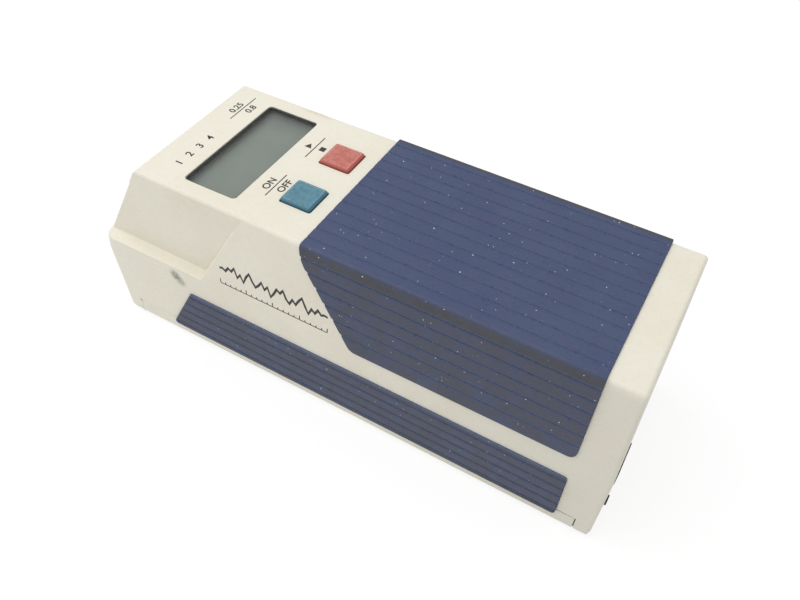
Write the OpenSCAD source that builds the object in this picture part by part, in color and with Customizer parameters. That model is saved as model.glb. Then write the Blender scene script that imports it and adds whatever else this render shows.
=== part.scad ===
// Hand-held surface roughness tester: a moulded case with a sloping nose, a blank display, two keys,
// ribbed grips, and a traverse drive inside that draws a skidded stylus pickup along the work.
// +X runs from the nose to the rear end, +Z is up, and the feet stand on Z = 0.

/* [Case] */
// Length of the case, nose to rear face
body_l = 164; // [150:1:190]
// Height of the top face above the surface the tester stands on
case_h = 60; // [56:1:72]
// Width of the top face
top_w = 49.4; // [48:0.2:54]
// Width at the crease between the upper and lower side walls
crease_w = 57.4; // [56:0.2:64]
// Width at the base
base_w = 59; // [58:0.2:66]
// Height of the crease and of the nose ledges
crease_z = 31.3; // [30:0.1:34]
// Thickness of the moulded walls
wall = 2.4; // [2:0.1:3]
// Radius of the long top edges
edge_r = 1.2; // [0.6:0.1:2]
// Radius of the lower rear corner
heel_r = 2.5; // [1:0.1:4]

/* [Nose] */
// Horizontal run of the sloping nose face
nose_run = 17.6; // [12:0.2:20]
// How far the nose bulges ahead of the foot of the slope
nose_bulge = 0.8; // [0.4:0.1:2]
// How far the base of the nose sits behind its foremost line
nose_undercut = 2; // [0.5:0.1:4]
// Height of the foremost line of the nose and of the rearmost line of the rear face
belly_z = 26; // [22:0.5:29]
// Distance from the nose to the foot of the side recess's slanting end
recess_l = 38.4; // [34:0.2:44]
// Horizontal run of the recess's slanting end
recess_run = 16.9; // [12:0.1:20]

/* [Rear end] */
// How far the top of the rear face leans forward
rear_draft = 1; // [0.2:0.1:3]
// How far the power jack's collar stands out of the rear face
port_proud = 0.6; // [0.3:0.1:1.5]
// Width and height of the data socket's shell
data_size = [11, 5.4]; // [5.4:0.2:11.4]
// Wall of the data socket's shell
data_wall = 0.5; // [0.3:0.1:0.5]
// Diameter of the power jack's collar
collar_d = 3; // [2.8:0.1:3.4]
// Diameter of the power jack's hole
jack_d = 2; // [1.4:0.1:2.2]
// Height of the data socket's centre
port_z = 13.5; // [13:0.5:18]
// How much lower the power jack's centre is
jack_drop = 3.5; // [0:0.5:3.5]
// Distance in from the crease's side to the power jack's centre
jack_inset = 6.7; // [6.7:0.1:16]
// Spacing of the two sockets
port_pitch = 10.1; // [9.8:0.1:11]

/* [Bottom cover] */
// Height of the parting line above the surface
part_z = 6.2; // [5.6:0.1:7.5]
// Distance from the nose to the cover's front edge
cover_front = 9; // [8:0.2:10]
// Distance from the rear face to the cover's rear edge
cover_rear = 5; // [4.6:0.2:5.6]
// Thickness of the cover's floor
floor_t = 2; // [1.8:0.1:2.6]
// Open joint between the cover and the case
seam = 0.3; // [0.2:0.05:0.5]
// Diameter of a rubber foot
foot_d = 8; // [6:0.5:9]
// How far a foot stands below the case
foot_h = 0.8; // [0.5:0.1:1.2]
// Depth of the pocket that holds a foot
foot_pocket = 0.8; // [0.4:0.1:1]
// Width of the slot that the pickup reaches through
slot_w = 9.6; // [9:0.2:12]

/* [Grips] */
// How far the grips stand proud of the case
grip_proud = 0.7; // [0.5:0.1:1.2]
// How deep the grips are let into the case
grip_seat = 0.8; // [0.4:0.1:1]
// Length of the grip cover on the top face
grip_l = 80; // [70:1:84]
// Distance from the rear face to the rear end of the grips
grip_rear = 10.4; // [8:0.2:14]
// Horizontal run of the grip cover's slanting front edge on the sides
grip_run = 16.2; // [10:0.2:20]
// Height of the upright start of that edge below the top face
grip_brow = 4; // [2:0.5:8]
// Height of the grip cover's lower edge above the crease
grip_lift = 0.9; // [0.4:0.1:3]
// Spacing of the grooves
groove_pitch = 4; // [3.4:0.1:5]
// Width of a groove
groove_w = 0.8; // [0.4:0.1:1.2]
// Depth of a groove
groove_d = 0.3; // [0.2:0.05:0.6]
// Height of a side strip
strip_h = 18; // [16:0.5:19]
// Height of a side strip's lower edge
strip_z = 4.8; // [4.4:0.1:5.2]
// Distance from the nose to the strip's lower front corner
strip_front = 23.1; // [20:0.1:30]
// Horizontal run of the strip's slanting front end
strip_run = 10.2; // [6:0.1:14]
// Spacing of the strip's grooves
strip_pitch = 3.75; // [3.2:0.05:4.2]

/* [Display] */
// Share of the top face's spare length that lies ahead of the window
window_share = 0.47; // [0.4:0.01:0.5]
// Size of the window along the case
window_l = 17.3; // [14:0.1:18]
// Size of the window across the case
window_w = 39.4; // [34:0.2:40]
// Radius of the window's corners
window_r = 1.2; // [0.6:0.1:2]
// Overlap of the clear window behind the case wall
window_lap = 1.9; // [1.4:0.1:2]
// Thickness of the clear window
window_t = 1; // [0.8:0.1:1.4]
// Thickness of the case wall over the clear window
window_wall = 1; // [0.8:0.1:1.4]
// Thickness of the display glass
glass_t = 1.8; // [1.4:0.1:2.2]

/* [Keys] */
// Size of a key along the case
key_l = 9.4; // [8:0.1:10]
// Size of a key across the case
key_w = 9; // [8:0.1:10]
// Share of the top face's spare length that lies between the window and the keys
key_share = 0.3614; // [0.3:0.0001:0.4]
// Spacing of the two keys across the case
key_pitch = 18.6; // [16:0.2:20]
// Gap around a key
key_gap = 0.3; // [0.2:0.05:0.4]
// How far a key stands above the top face
key_proud = 1; // [0.9:0.1:1.4]
// Travel of a key
key_travel = 0.8; // [0.5:0.05:0.85]
// Width of the lip that keeps a key in the case
key_lip = 1.2; // [0.8:0.1:1.5]

/* [Boards] */
// Thickness of the circuit boards
board_t = 1.6; // [1:0.1:2]
// Depth of the main board's upper face below the case's inner top face
board_drop = 6.4; // [6.2:0.1:7]
// Side of a square switch
switch_side = 6; // [5.6:0.1:7]
// Height of a switch's body
switch_h = 2.7; // [2.6:0.1:2.9]
// Diameter of a switch's plunger
plunger_d = 3; // [2.4:0.1:3.4]
// Diameter of the small screws' shanks
small_screw_d = 2; // [1.8:0.1:2.4]

/* [Battery] */
// Diameter of a cell in the pack
cell_d = 14.2; // [13.8:0.1:14.4]
// Length of the pack
pack_l = 50; // [46:0.5:54]
// Cells side by side in the pack
cell_count = 3; // [2:1:3]
// Thickness of the tray that carries the pack
tray_t = 1.6; // [1.2:0.1:2]

/* [Traverse drive] */
// Travel of the pickup
travel = 8; // [4:0.5:8]
// Diameter of the lead screw
screw_d = 5; // [4:0.1:5.4]
// Diameter of the lead screw's journals
journal_d = 3.2; // [2.6:0.1:3.6]
// Height of the lead screw
screw_z = 20; // [19:0.5:21]
// Diameter of a guide rod
guide_d = 4; // [3:0.1:4.4]
// Spacing of the guide rods
guide_pitch = 22; // [20:0.5:23]
// Height of the guide rods
guide_z = 16; // [15.5:0.1:16.5]
// Length of the carriage
carriage_l = 16; // [12:0.5:17]
// Width of the carriage
carriage_w = 30; // [29:0.5:30]
// Outer diameter of the pickup
pickup_d = 8; // [7:0.1:8.4]
// Height of the pickup's axis
pickup_z = 8.6; // [8.4:0.1:9]
// Wall of the pickup tube
pickup_wall = 1; // [0.8:0.1:1.2]
// Height of the skid and of the stylus tip above the surface at rest
stylus_lift = 0.5; // [0.3:0.05:0.7]
// Module of the gear teeth
gear_module = 0.5; // [0.45:0.01:0.52]
// Teeth of the gear on the lead screw
gear_teeth = 40; // [36:2:42]
// Teeth of the pinion on the motor
pinion_teeth = 20; // [18:2:22]
// Width of the gears
gear_w = 4; // [3:0.1:4.4]
// Diameter of the motor and its gearhead
motor_d = 15; // [13:0.5:15.4]
// Length of the motor's can
can_l = 22; // [18:0.5:26]

/* [Fits] */
// Gap of a running fit, on the radius
run_fit = 0.05; // [0.02:0.01:0.1]
// Gap of a seated pin or screw, on the radius
seat_fit = 0.03; // [0.02:0.01:0.06]
// Gap between pieces that lie side by side
side_gap = 0.3; // [0.2:0.05:0.4]

/* [Hidden] */
$fn = 48;
CREAM = [0.88, 0.86, 0.79];
NAVY = [0.13, 0.16, 0.30];
BLUE = [0.16, 0.42, 0.58];
RED = [0.84, 0.33, 0.31];
GLASS = [0.80, 0.86, 0.84, 0.5];
LCD_GREEN = [0.52, 0.57, 0.53];
BLACK = [0.08, 0.08, 0.08];
BOARD_GREEN = [0.10, 0.36, 0.22];
STEEL = [0.72, 0.73, 0.75];
ALLOY = [0.80, 0.81, 0.82];
BRASS = [0.78, 0.62, 0.30];
// Something longer than any cut it is used in
far = 200;
// Depth that joined shapes run into each other, and that cuts run past a face
lap = 0.2;
past = 1;

// Case: the middle of the box lies at X = 0, with the data socket counted in
x_nose = -(body_l + port_proud) / 2;
x_rear = x_nose + body_l;
base_z = foot_h;
upper_lean = (crease_w - top_w) / 2 / (case_h - crease_z);
lower_lean = (base_w - crease_w) / 2 / (crease_z - base_z);
nose_lean = nose_run / (case_h - crease_z);
nose_slant = sqrt(1 + pow(nose_lean, 2));
heel_in = 0.2;
ceiling_z = case_h - wall;
recess_x = x_nose + recess_l;
recess_lean = recess_run / (case_h - crease_z);

// Bottom cover, its screws and its feet
cover_x0 = x_nose + cover_front;
cover_x1 = x_rear - cover_rear;
cover_top = base_z + floor_t;
case_screw_d = 3;
case_screw_l = 14;
case_head_d = 5.4;
case_head_h = 2;
case_post_r = 3.5;
case_post_top = crease_z - wall + lap;
case_post_in = [23.5, 19];
case_post_bite = 1;
case_post_x = [cover_x0 + case_post_in[0], cover_x1 - case_post_in[1]];
case_post_y = min(inner_half(part_z), inner_half(crease_z)) - case_post_r + case_post_bite;
foot_in = 9;
foot_side = 1.2;
foot_x = [cover_x0 + foot_in, cover_x1 - foot_in];
foot_y = inner_half(base_z) - foot_d / 2 - foot_side;

// Grips
grip_x1 = x_rear - grip_rear;
grip_x0 = grip_x1 - grip_l;
grip_z = crease_z + grip_lift;
grip_corner_r = 3;
grip_brow_r = 11;
grip_heel_r = 2;
strip_x0 = x_nose + strip_front;
strip_corner_r = 1;

// The top face from the nose slope to the grip: the window and the keys share out its length
top_x0 = x_nose + nose_bulge + nose_run;
top_spare = grip_x0 - top_x0 - window_l - key_l;
window_x0 = top_x0 + top_spare * window_share;
key_x0 = window_x0 + window_l + top_spare * key_share;
key_x1 = key_x0 + key_l;

// Display
window_x = window_x0 + window_l / 2;
window_z = case_h - window_wall;
window_back_l = window_l + 2 * window_lap;
window_back_w = window_w + 2 * window_lap;
holder_wall = 1.2;
glass_l = window_back_l - 2 * holder_wall;
glass_w = window_back_w - 2 * holder_wall;

// Main board, hung from posts under the top face
board_z = ceiling_z - board_drop;
board_edge = 1.1;
board_r = 1;
board_w = window_w + 2 * board_edge;
post_r = 2.6;
post_gap = 0.6;
board_x0 = window_x0 - window_lap - post_gap - 2 * post_r;
board_x1 = key_x1 + key_lip + post_gap + 2 * post_r;
post_x0 = board_x0 + post_r;
post_x1 = board_x1 - post_r;
post_y = board_w / 2 - post_r;
small_head_h = 1.4;
small_bite = 4;

// Keys, with the switches on the main board
key_x = (key_x0 + key_x1) / 2;
key_crown = 0.5;
key_corner_r = 0.3;
key_lip_t = 1.2;
key_lip_top = ceiling_z - side_gap;
key_stem_wall = 0.8;
key_stem_r = plunger_d / 2 + key_stem_wall;
switch_floor = 0.4;
plunger_foot = board_z + switch_floor + key_travel + lap;
plunger_top = board_z + switch_h + key_travel + side_gap;

// Battery, on a tray hung from posts under the grip
tray_gap = 9;
tray_x0 = board_x1 + tray_gap;
tray_post_r = 3;
tray_post_d = 2 * (tray_post_r + side_gap);
tray_x1 = tray_x0 + pack_l + 2 * tray_post_d;
tray_w = 36;
tray_post_y = tray_w / 2 - tray_post_r;
pack_w = cell_count * cell_d;
pack_gap = 5.4;
pack_top = ceiling_z - pack_gap;
tray_z = pack_top - cell_d - tray_t;

// Rear board and its sockets
port_x1 = x_rear + port_proud;
jack_y = jack_inset - crease_w / 2;
data_y = jack_y + port_pitch;
shell_share = 0.85;
shell_x1 = x_rear + port_proud * shell_share;
socket_rim = 1.2;
jack_z = max(port_z - jack_drop, part_z + 2 * seam + collar_d / 2 + socket_rim);
socket_depth = 5;
rear_wall_x = x_rear - heel_in - wall;
rear_board_x = rear_wall_x - side_gap - socket_depth - board_t;
rear_board_w = crease_w - 2 * (wall + side_gap);
rear_board_gap = 1;
rear_board_top = crease_z - wall - rear_board_gap;
rib_t = 1.6;
rib_reach = 1;

// Traverse drive: frame, carriage, screw, gears and motor
carriage_front = 37;
carriage_x0 = cover_x0 + carriage_front;
carriage_x1 = carriage_x0 + carriage_l;
carriage_gap = 0.8;
carriage_z = cover_top + carriage_gap;
nut_wall = 2.9;
carriage_top = screw_z + screw_d / 2 + nut_wall;
rail_w = 4.4;
rail_y = carriage_w / 2 + 2 * side_gap;
frame_w = 2 * (rail_y + rail_w);
rail_drop = 0.2;
rail_z = part_z - rail_drop;
rail_t = 4;
bracket_t = 4;
bush_wall = 1.4;
bush_r = journal_d / 2 + bush_wall;
bracket_brow = 3;
bracket_top = screw_z + bush_r + bracket_brow;
notch_gap = 2;
front_room = 14;
rear_room = 12;
front_x = carriage_x0 - front_room - bracket_t;
rear_x = carriage_x1 + travel + rear_room;
frame_screw_d = 2.5;
frame_head_d = 4.4;
frame_boss_r = 3;
frame_hole_x = [front_x + bracket_t + frame_head_d, rear_x - frame_head_d];
frame_hole_y = rail_y + rail_w / 2;
gear_gap = 1.5;
gear_x = rear_x + bracket_t + gear_gap;
gear_r = gear_module * gear_teeth / 2;
pinion_r = gear_module * pinion_teeth / 2;
pressure_angle = 20;
backlash = 0.08;
flank_steps = 4;
motor_y = gear_r + pinion_r;
motor_flat_share = 0.8;
motor_plate_x = gear_x + gear_w + gear_gap;
motor_plate_t = 3;
gearhead_x = motor_plate_x + motor_plate_t;
gearhead_l = 10;
gearhead_back = 2;
pilot_r = 3;
shaft_r = 1.5;

// Pickup, skid and stylus
pickup_front = 3;
pickup_x0 = cover_x0 + pickup_front;
pickup_stop = 4;
pickup_x1 = carriage_x1 - pickup_stop;
tip_back = 3;
tip_x = pickup_x0 + tip_back;
tip_r = 0.5;
tip_l = 1.1;
tip_slot = [2.4, 2];
pivot_back = 20;
pivot_x = pickup_x0 + pivot_back;
pivot_r = 0.5;
arm_r = 0.8;
arm_hub_r = 1.4;
arm_tail = 4;
bore_tail = 6;
skid_l = 5;
skid_w = 3;
skid_back = 2.5;
skid_x = tip_x + skid_back;
skid_r = 4.25;
slot_room = 1;
slot_x0 = pickup_x0 - slot_room;
slot_x1 = skid_x + skid_l + travel + slot_room;
slot_r = 2.4;

function half_w(z) = z > crease_z
    ? crease_w / 2 - (z - crease_z) * upper_lean
    : crease_w / 2 + (crease_z - z) * lower_lean;
function inner_half(z) = half_w(z) - wall;
function unit(v) = v / norm(v);
function turn(a) = a > 180 ? a - 360 : a < -180 ? a + 360 : a;

// The arc that rounds corner b of the outline a, b, c
function corner_arc(a, b, c, r, steps) =
    let (u = unit(a - b), w = unit(c - b), half = acos(u * w) / 2)
    let (middle = b + unit(u + w) * r / sin(half))
    let (p = b + u * r / tan(half) - middle, q = b + w * r / tan(half) - middle)
    let (start = atan2(p.y, p.x), sweep = turn(atan2(q.y, q.x) - start))
    [for (i = [0:steps]) middle + r * [cos(start + sweep * i / steps), sin(start + sweep * i / steps)]];

// An outline from points [x, y, radius], with each corner rounded by its radius
function rounded(points, steps = 6) =
    let (n = len(points), flat = [for (p = points) [p.x, p.y]])
    [for (i = [0:n - 1]) each points[i].z == 0
        ? [flat[i]]
        : corner_arc(flat[(i + n - 1) % n], flat[i], flat[(i + 1) % n], points[i].z, steps)];

// Draw a Y-Z outline and run it along X
module along_x(x0, x1)
    translate([x0, 0, 0])
        rotate([90, 0, 90])
            linear_extrude(x1 - x0)
                children();

// Draw an X-Z outline and run it along Y
module along_y(y0, y1)
    translate([0, y1, 0])
        rotate([90, 0, 0])
            linear_extrude(y1 - y0)
                children();

module box(low, high)
    translate(low)
        cube(high - low);

module rod_x(x0, x1, r, y = 0, z = 0)
    translate([x0, y, z])
        rotate([0, 90, 0])
            cylinder(h = x1 - x0, r = r);

module rod_y(y0, y1, r, x = 0, z = 0)
    translate([x, y1, z])
        rotate([90, 0, 0])
            cylinder(h = y1 - y0, r = r);

module rod_z(z0, z1, r, x = 0, y = 0)
    translate([x, y, z0])
        cylinder(h = z1 - z0, r = r);

module both_sides()
    for (side = [0, 1])
        mirror([0, side, 0])
            children();

// A rounded slab in plan, centred on [x, y]
module slab(z0, z1, l, w, r, x = 0, y = 0)
    translate([x, y, z0])
        linear_extrude(z1 - z0)
            polygon(rounded([
                [-l / 2, -w / 2, r],
                [l / 2, -w / 2, r],
                [l / 2, w / 2, r],
                [-l / 2, w / 2, r]
            ]));

// Cross-section of the case, moved outwards by grow
module case_section(grow, low_z, top_r, low_r)
    polygon(rounded([
        [-half_w(low_z) - grow, low_z, low_r],
        [half_w(low_z) + grow, low_z, low_r],
        [crease_w / 2 + grow, crease_z, 0],
        [top_w / 2 + grow, case_h + grow, top_r],
        [-top_w / 2 - grow, case_h + grow, top_r],
        [-crease_w / 2 - grow, crease_z, 0]
    ]));

// Side view of the case, moved inwards by inset
module case_profile(inset, low_z, round_r)
    polygon(rounded([
        [x_nose + nose_undercut + inset, low_z, round_r],
        [x_rear - heel_in - inset, low_z, max(heel_r - inset, 0)],
        [x_rear - inset, belly_z, 0],
        [x_rear - rear_draft - inset, case_h - inset, round_r],
        [top_x0 + inset * (nose_slant - nose_lean), case_h - inset, round_r],
        [x_nose + nose_bulge + inset * nose_slant, crease_z, 0],
        [x_nose + inset, belly_z, 0]
    ]));

// The hollow cut into each side of the nose, grown by grow to leave a wall behind it
module nose_recess(grow)
    both_sides()
        along_y(top_w / 2 - grow, far)
            polygon([
                [-far, crease_z - grow],
                [recess_x + grow, crease_z - grow],
                [recess_x + grow + recess_lean * far, crease_z - grow + far],
                [-far, crease_z - grow + far]
            ]);

module case_solid()
    difference() {
        intersection() {
            along_x(-far, far)
                case_section(0, base_z, edge_r, edge_r);
            along_y(-far, far)
                case_profile(0, base_z, edge_r);
        }
        nose_recess(0);
    }

module case_cavity()
    difference() {
        intersection() {
            along_x(-far, far)
                case_section(-wall, cover_top, 0, 0);
            along_y(-far, far)
                case_profile(wall, cover_top, 0);
        }
        nose_recess(wall);
    }

// The layer that a grip fills, from its seat in the case to its outer face
module grip_layer(x0, x1)
    difference() {
        along_x(x0, x1)
            case_section(grip_proud, base_z, edge_r, 0);
        along_x(x0 - past, x1 + past)
            case_section(-grip_seat, 0, edge_r, 0);
    }

module grip_blank()
    intersection() {
        grip_layer(grip_x0, grip_x1);
        along_y(-far, far)
            polygon(rounded([
                [grip_x0 + grip_run, grip_z, grip_corner_r],
                [grip_x1, grip_z, grip_heel_r],
                [grip_x1, far, 0],
                [grip_x0, far, 0],
                [grip_x0, case_h - grip_brow, grip_brow_r]
            ]));
    }

module strip_blank()
    intersection() {
        grip_layer(strip_x0, grip_x1);
        along_y(0, far)
            polygon(rounded([
                [strip_x0, strip_z, strip_corner_r],
                [grip_x1, strip_z, strip_corner_r],
                [grip_x1, strip_z + strip_h, strip_corner_r],
                [strip_x0 + strip_run, strip_z + strip_h, strip_corner_r]
            ]));
    }

// Grooves along a strip's outer face, symmetric about its middle
module strip_grooves() {
    middle = strip_z + strip_h / 2;
    count = floor((strip_h / 2 - groove_w) / strip_pitch);
    for (i = [-count:count]) {
        z = middle + i * strip_pitch;
        y = half_w(z) + grip_proud - groove_d;
        box([strip_x0 - past, y, z - groove_w / 2], [grip_x1 + past, far, z + groove_w / 2]);
    }
}

module grip_grooves() {
    top_count = floor((top_w / 2 - groove_w) / groove_pitch + 0.5);
    for (i = [1 - top_count:top_count])
        box([grip_x0 - past, (i - 0.5) * groove_pitch - groove_w / 2, case_h + grip_proud - groove_d],
            [grip_x1 + past, (i - 0.5) * groove_pitch + groove_w / 2, far]);
    side_count = floor((case_h - grip_z - groove_w) / groove_pitch);
    both_sides()
        for (i = [1:side_count]) {
            z = case_h + grip_proud - i * groove_pitch;
            y = half_w(z) + grip_proud - groove_d;
            box([grip_x0 - past, y, z - groove_w / 2], [grip_x1 + past, far, z + groove_w / 2]);
        }
}

// The space of the bottom cover, with the open joint around it
module cover_space()
    box([cover_x0 - seam, -far, -far], [cover_x1 + seam, far, part_z + seam]);

module at_board_posts()
    for (x = [post_x0, post_x1], y = [-post_y, post_y])
        translate([x, y, 0])
            children();

module at_tray_posts()
    for (x = [tray_x0 + tray_post_r, tray_x1 - tray_post_r], y = [-tray_post_y, tray_post_y])
        translate([x, y, 0])
            children();

module at_case_screws()
    for (x = case_post_x, y = [-case_post_y, case_post_y])
        translate([x, y, 0])
            children();

module at_frame_screws()
    for (x = frame_hole_x, y = [-frame_hole_y, frame_hole_y])
        translate([x, y, 0])
            children();

module at_feet()
    for (x = foot_x, y = [-foot_y, foot_y])
        translate([x, y, 0])
            children();

// Guides that run in from the side walls and hold the rear board's edges
module board_ribs()
    intersection() {
        along_x(-far, far)
            case_section(lap - wall, base_z, 0, 0);
        both_sides()
            for (x = [rear_board_x - side_gap - rib_t, rear_board_x + board_t + side_gap])
                box([x, rear_board_w / 2 - rib_reach, part_z + seam],
                    [x + rib_t, far, crease_z - wall]);
    }

module upper_case()
    color(CREAM)
        difference() {
            union() {
                difference() {
                    case_solid();
                    case_cavity();
                    cover_space();
                    grip_blank();
                    both_sides()
                        strip_blank();
                }
                at_board_posts()
                    rod_z(board_z, ceiling_z + lap, post_r);
                at_tray_posts()
                    rod_z(tray_z + tray_t, ceiling_z + lap, tray_post_r);
                at_case_screws()
                    rod_z(part_z + seam, case_post_top, case_post_r);
                board_ribs();
            }
            slab(ceiling_z - past, case_h + past, window_l, window_w, window_r, window_x);
            slab(ceiling_z - past, window_z, window_back_l + 2 * side_gap, window_back_w + 2 * side_gap,
                window_r, window_x);
            for (side = [-1, 1])
                slab(ceiling_z - past, case_h + past, key_l + 2 * key_gap, key_w + 2 * key_gap,
                    key_corner_r + key_gap, key_x, side * key_pitch / 2);
            at_board_posts()
                rod_z(board_z - past, board_z + small_bite + side_gap, small_screw_d / 2 + seat_fit);
            at_tray_posts()
                rod_z(tray_z, tray_z + tray_t + small_bite + side_gap, small_screw_d / 2 + seat_fit);
            at_case_screws()
                rod_z(part_z, base_z + case_screw_l + past, case_screw_d / 2 + seat_fit);
            data_shell(side_gap, rear_wall_x - past, port_x1 + past);
            rod_x(rear_wall_x - past, port_x1 + past, collar_d / 2 + side_gap, jack_y, jack_z);
        }

// The data socket's square shell from x0 to x1, grown by grow
module data_shell(grow, x0, x1)
    box([x0, data_y - data_size.x / 2 - grow, port_z - data_size.y / 2 - grow],
        [x1, data_y + data_size.x / 2 + grow, port_z + data_size.y / 2 + grow]);

// A socket's body between the rear board and the rear wall
module socket_block(y, z, w, h)
    box([rear_board_x + board_t, y - w / 2, z - h / 2],
        [rear_wall_x - side_gap, y + w / 2, z + h / 2]);

module bottom_cover()
    color(CREAM)
        difference() {
            union() {
                difference() {
                    intersection() {
                        case_solid();
                        box([cover_x0, -far, 0], [cover_x1, far, part_z]);
                    }
                    along_x(-far, far)
                        case_section(-wall, cover_top, 0, 0);
                    both_sides()
                        strip_blank();
                }
                at_case_screws()
                    rod_z(cover_top - lap, part_z, case_post_r);
                at_frame_screws()
                    rod_z(cover_top - lap, rail_z, frame_boss_r);
            }
            at_case_screws() {
                rod_z(0, part_z + past, case_screw_d / 2 + side_gap);
                rod_z(0, base_z + case_head_h + side_gap, case_head_d / 2 + side_gap);
            }
            at_frame_screws()
                rod_z(cover_top, rail_z + past, frame_screw_d / 2 + seat_fit);
            at_feet()
                rod_z(0, base_z + foot_pocket, foot_d / 2 + seat_fit);
            slab(0, cover_top + past, slot_x1 - slot_x0, slot_w, slot_r, (slot_x0 + slot_x1) / 2);
        }

module grip_cover()
    color(NAVY)
        difference() {
            grip_blank();
            grip_grooves();
        }

module grip_strip_far()
    color(NAVY)
        difference() {
            strip_blank();
            strip_grooves();
        }

module grip_strip_near()
    color(NAVY)
        mirror([0, 1, 0])
            difference() {
                strip_blank();
                strip_grooves();
            }

module display_window()
    color(GLASS)
        slab(window_z - window_t, window_z, window_back_l, window_back_w, window_r, window_x);

// The holder stands on the main board and carries the display glass under the window
module lcd_holder()
    color(BLACK)
        difference() {
            slab(board_z, window_z - window_t, window_back_l, window_back_w, window_r, window_x);
            slab(window_z - window_t - glass_t, window_z, glass_l, glass_w, window_r / 2, window_x);
        }

module lcd_panel()
    color(LCD_GREEN)
        slab(window_z - window_t - glass_t, window_z - window_t - side_gap,
            glass_l - 2 * seat_fit, glass_w - 2 * seat_fit, window_r / 2, window_x);

// A key is a square cap with a lip under the case wall and a stem that meets its switch's plunger
module key(side) {
    y = side * key_pitch / 2;
    foot = key_lip_top - key_lip_t;
    slab(foot, case_h + key_proud - key_crown, key_l, key_w, key_corner_r, key_x, y);
    slab(foot, case_h + key_proud, key_l - 2 * key_crown, key_w - 2 * key_crown, key_corner_r, key_x, y);
    slab(foot, key_lip_top, key_l + 2 * key_lip, key_w + 2 * key_lip, key_corner_r, key_x, y);
    rod_z(plunger_top, foot + lap, key_stem_r, key_x, y);
}

module plunger(side)
    rod_z(plunger_foot, plunger_top, plunger_d / 2, key_x, side * key_pitch / 2);

module switch(side)
    difference() {
        slab(board_z, board_z + switch_h, switch_side, switch_side, key_corner_r,
            key_x, side * key_pitch / 2);
        rod_z(board_z + switch_floor, board_z + switch_h + past, plunger_d / 2 + run_fit,
            key_x, side * key_pitch / 2);
    }

module blue_key()
    color(BLUE)
        key(-1);

module red_key()
    color(RED)
        key(1);

module blue_plunger()
    color(BLACK)
        plunger(-1);

module red_plunger()
    color(BLACK)
        plunger(1);

module blue_switch()
    color(BLACK)
        switch(-1);

module red_switch()
    color(BLACK)
        switch(1);

module main_board()
    color(BOARD_GREEN)
        difference() {
            slab(board_z - board_t, board_z, board_x1 - board_x0, board_w, board_r,
                (board_x0 + board_x1) / 2);
            at_board_posts()
                rod_z(board_z - board_t - past, board_z + past, small_screw_d / 2 + side_gap);
        }

// A pan-head screw driven upwards, with its head's upper face at z and a crossed slot
module screw_up(z, shank_d, shank_l, head_d, head_h) {
    slot_l = head_d * 0.64;
    slot_t = head_d * 0.14;
    difference() {
        union() {
            rod_z(z, z + shank_l, shank_d / 2);
            rod_z(z - head_h, z, head_d / 2);
        }
        for (size = [[slot_l, slot_t], [slot_t, slot_l]])
            box([-size.x / 2, -size.y / 2, z - head_h - past], [size.x / 2, size.y / 2, z - head_h / 2]);
    }
}

module board_screws()
    color(STEEL)
        at_board_posts()
            screw_up(board_z - board_t, small_screw_d, board_t + small_bite, 2 * small_screw_d, small_head_h);

module tray_screws()
    color(STEEL)
        at_tray_posts()
            screw_up(tray_z, small_screw_d, tray_t + small_bite, 2 * small_screw_d, small_head_h);

module case_screws()
    color(STEEL)
        at_case_screws()
            screw_up(base_z + case_head_h + side_gap, case_screw_d, case_screw_l - case_head_h,
                case_head_d, case_head_h);

module frame_screws()
    color(STEEL)
        at_frame_screws()
            translate([0, 0, rail_z + rail_t])
                mirror([0, 0, 1])
                    screw_up(0, frame_screw_d, rail_t + rail_z - cover_top - side_gap, frame_head_d,
                        small_head_h);

// The cells lie along X side by side in one sleeve
module battery_pack()
    color(NAVY)
        along_x(tray_x0 + tray_post_d, tray_x0 + tray_post_d + pack_l) {
            for (i = [0:cell_count - 1])
                translate([(i + 0.5) * cell_d - pack_w / 2, pack_top - cell_d / 2])
                    circle(d = cell_d);
            translate([cell_d / 2 - pack_w / 2, pack_top - cell_d])
                square([pack_w - cell_d, cell_d]);
        }

module battery_tray()
    color(ALLOY)
        difference() {
            union() {
                box([tray_x0, -tray_w / 2, tray_z], [tray_x1, tray_w / 2, tray_z + tray_t]);
                for (x = [tray_x0 + tray_post_d - tray_t - side_gap,
                          tray_x0 + tray_post_d + pack_l + side_gap])
                    box([x, -tray_post_y + tray_post_r + side_gap, tray_z],
                        [x + tray_t, tray_post_y - tray_post_r - side_gap, pack_top - cell_d / 2]);
            }
            at_tray_posts()
                rod_z(tray_z - past, tray_z + tray_t + past, small_screw_d / 2 + side_gap);
        }

module rear_board()
    color(BOARD_GREEN)
        box([rear_board_x, -rear_board_w / 2, cover_top + side_gap],
            [rear_board_x + board_t, rear_board_w / 2, rear_board_top]);

module data_socket()
    color(BLACK)
        difference() {
            union() {
                socket_block(data_y, port_z, data_size.x + socket_rim, data_size.y + socket_rim);
                data_shell(0, rear_wall_x - side_gap - lap, shell_x1);
            }
            data_shell(-data_wall, rear_board_x + board_t + past, port_x1 + past);
        }

module power_jack()
    color(BLACK)
        difference() {
            union() {
                socket_block(jack_y, jack_z, collar_d + 2 * socket_rim, collar_d + 2 * socket_rim);
                rod_x(rear_wall_x - side_gap - lap, port_x1, collar_d / 2, jack_y, jack_z);
            }
            rod_x(rear_board_x + board_t + past, port_x1 + past, jack_d / 2, jack_y, jack_z);
        }

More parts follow.
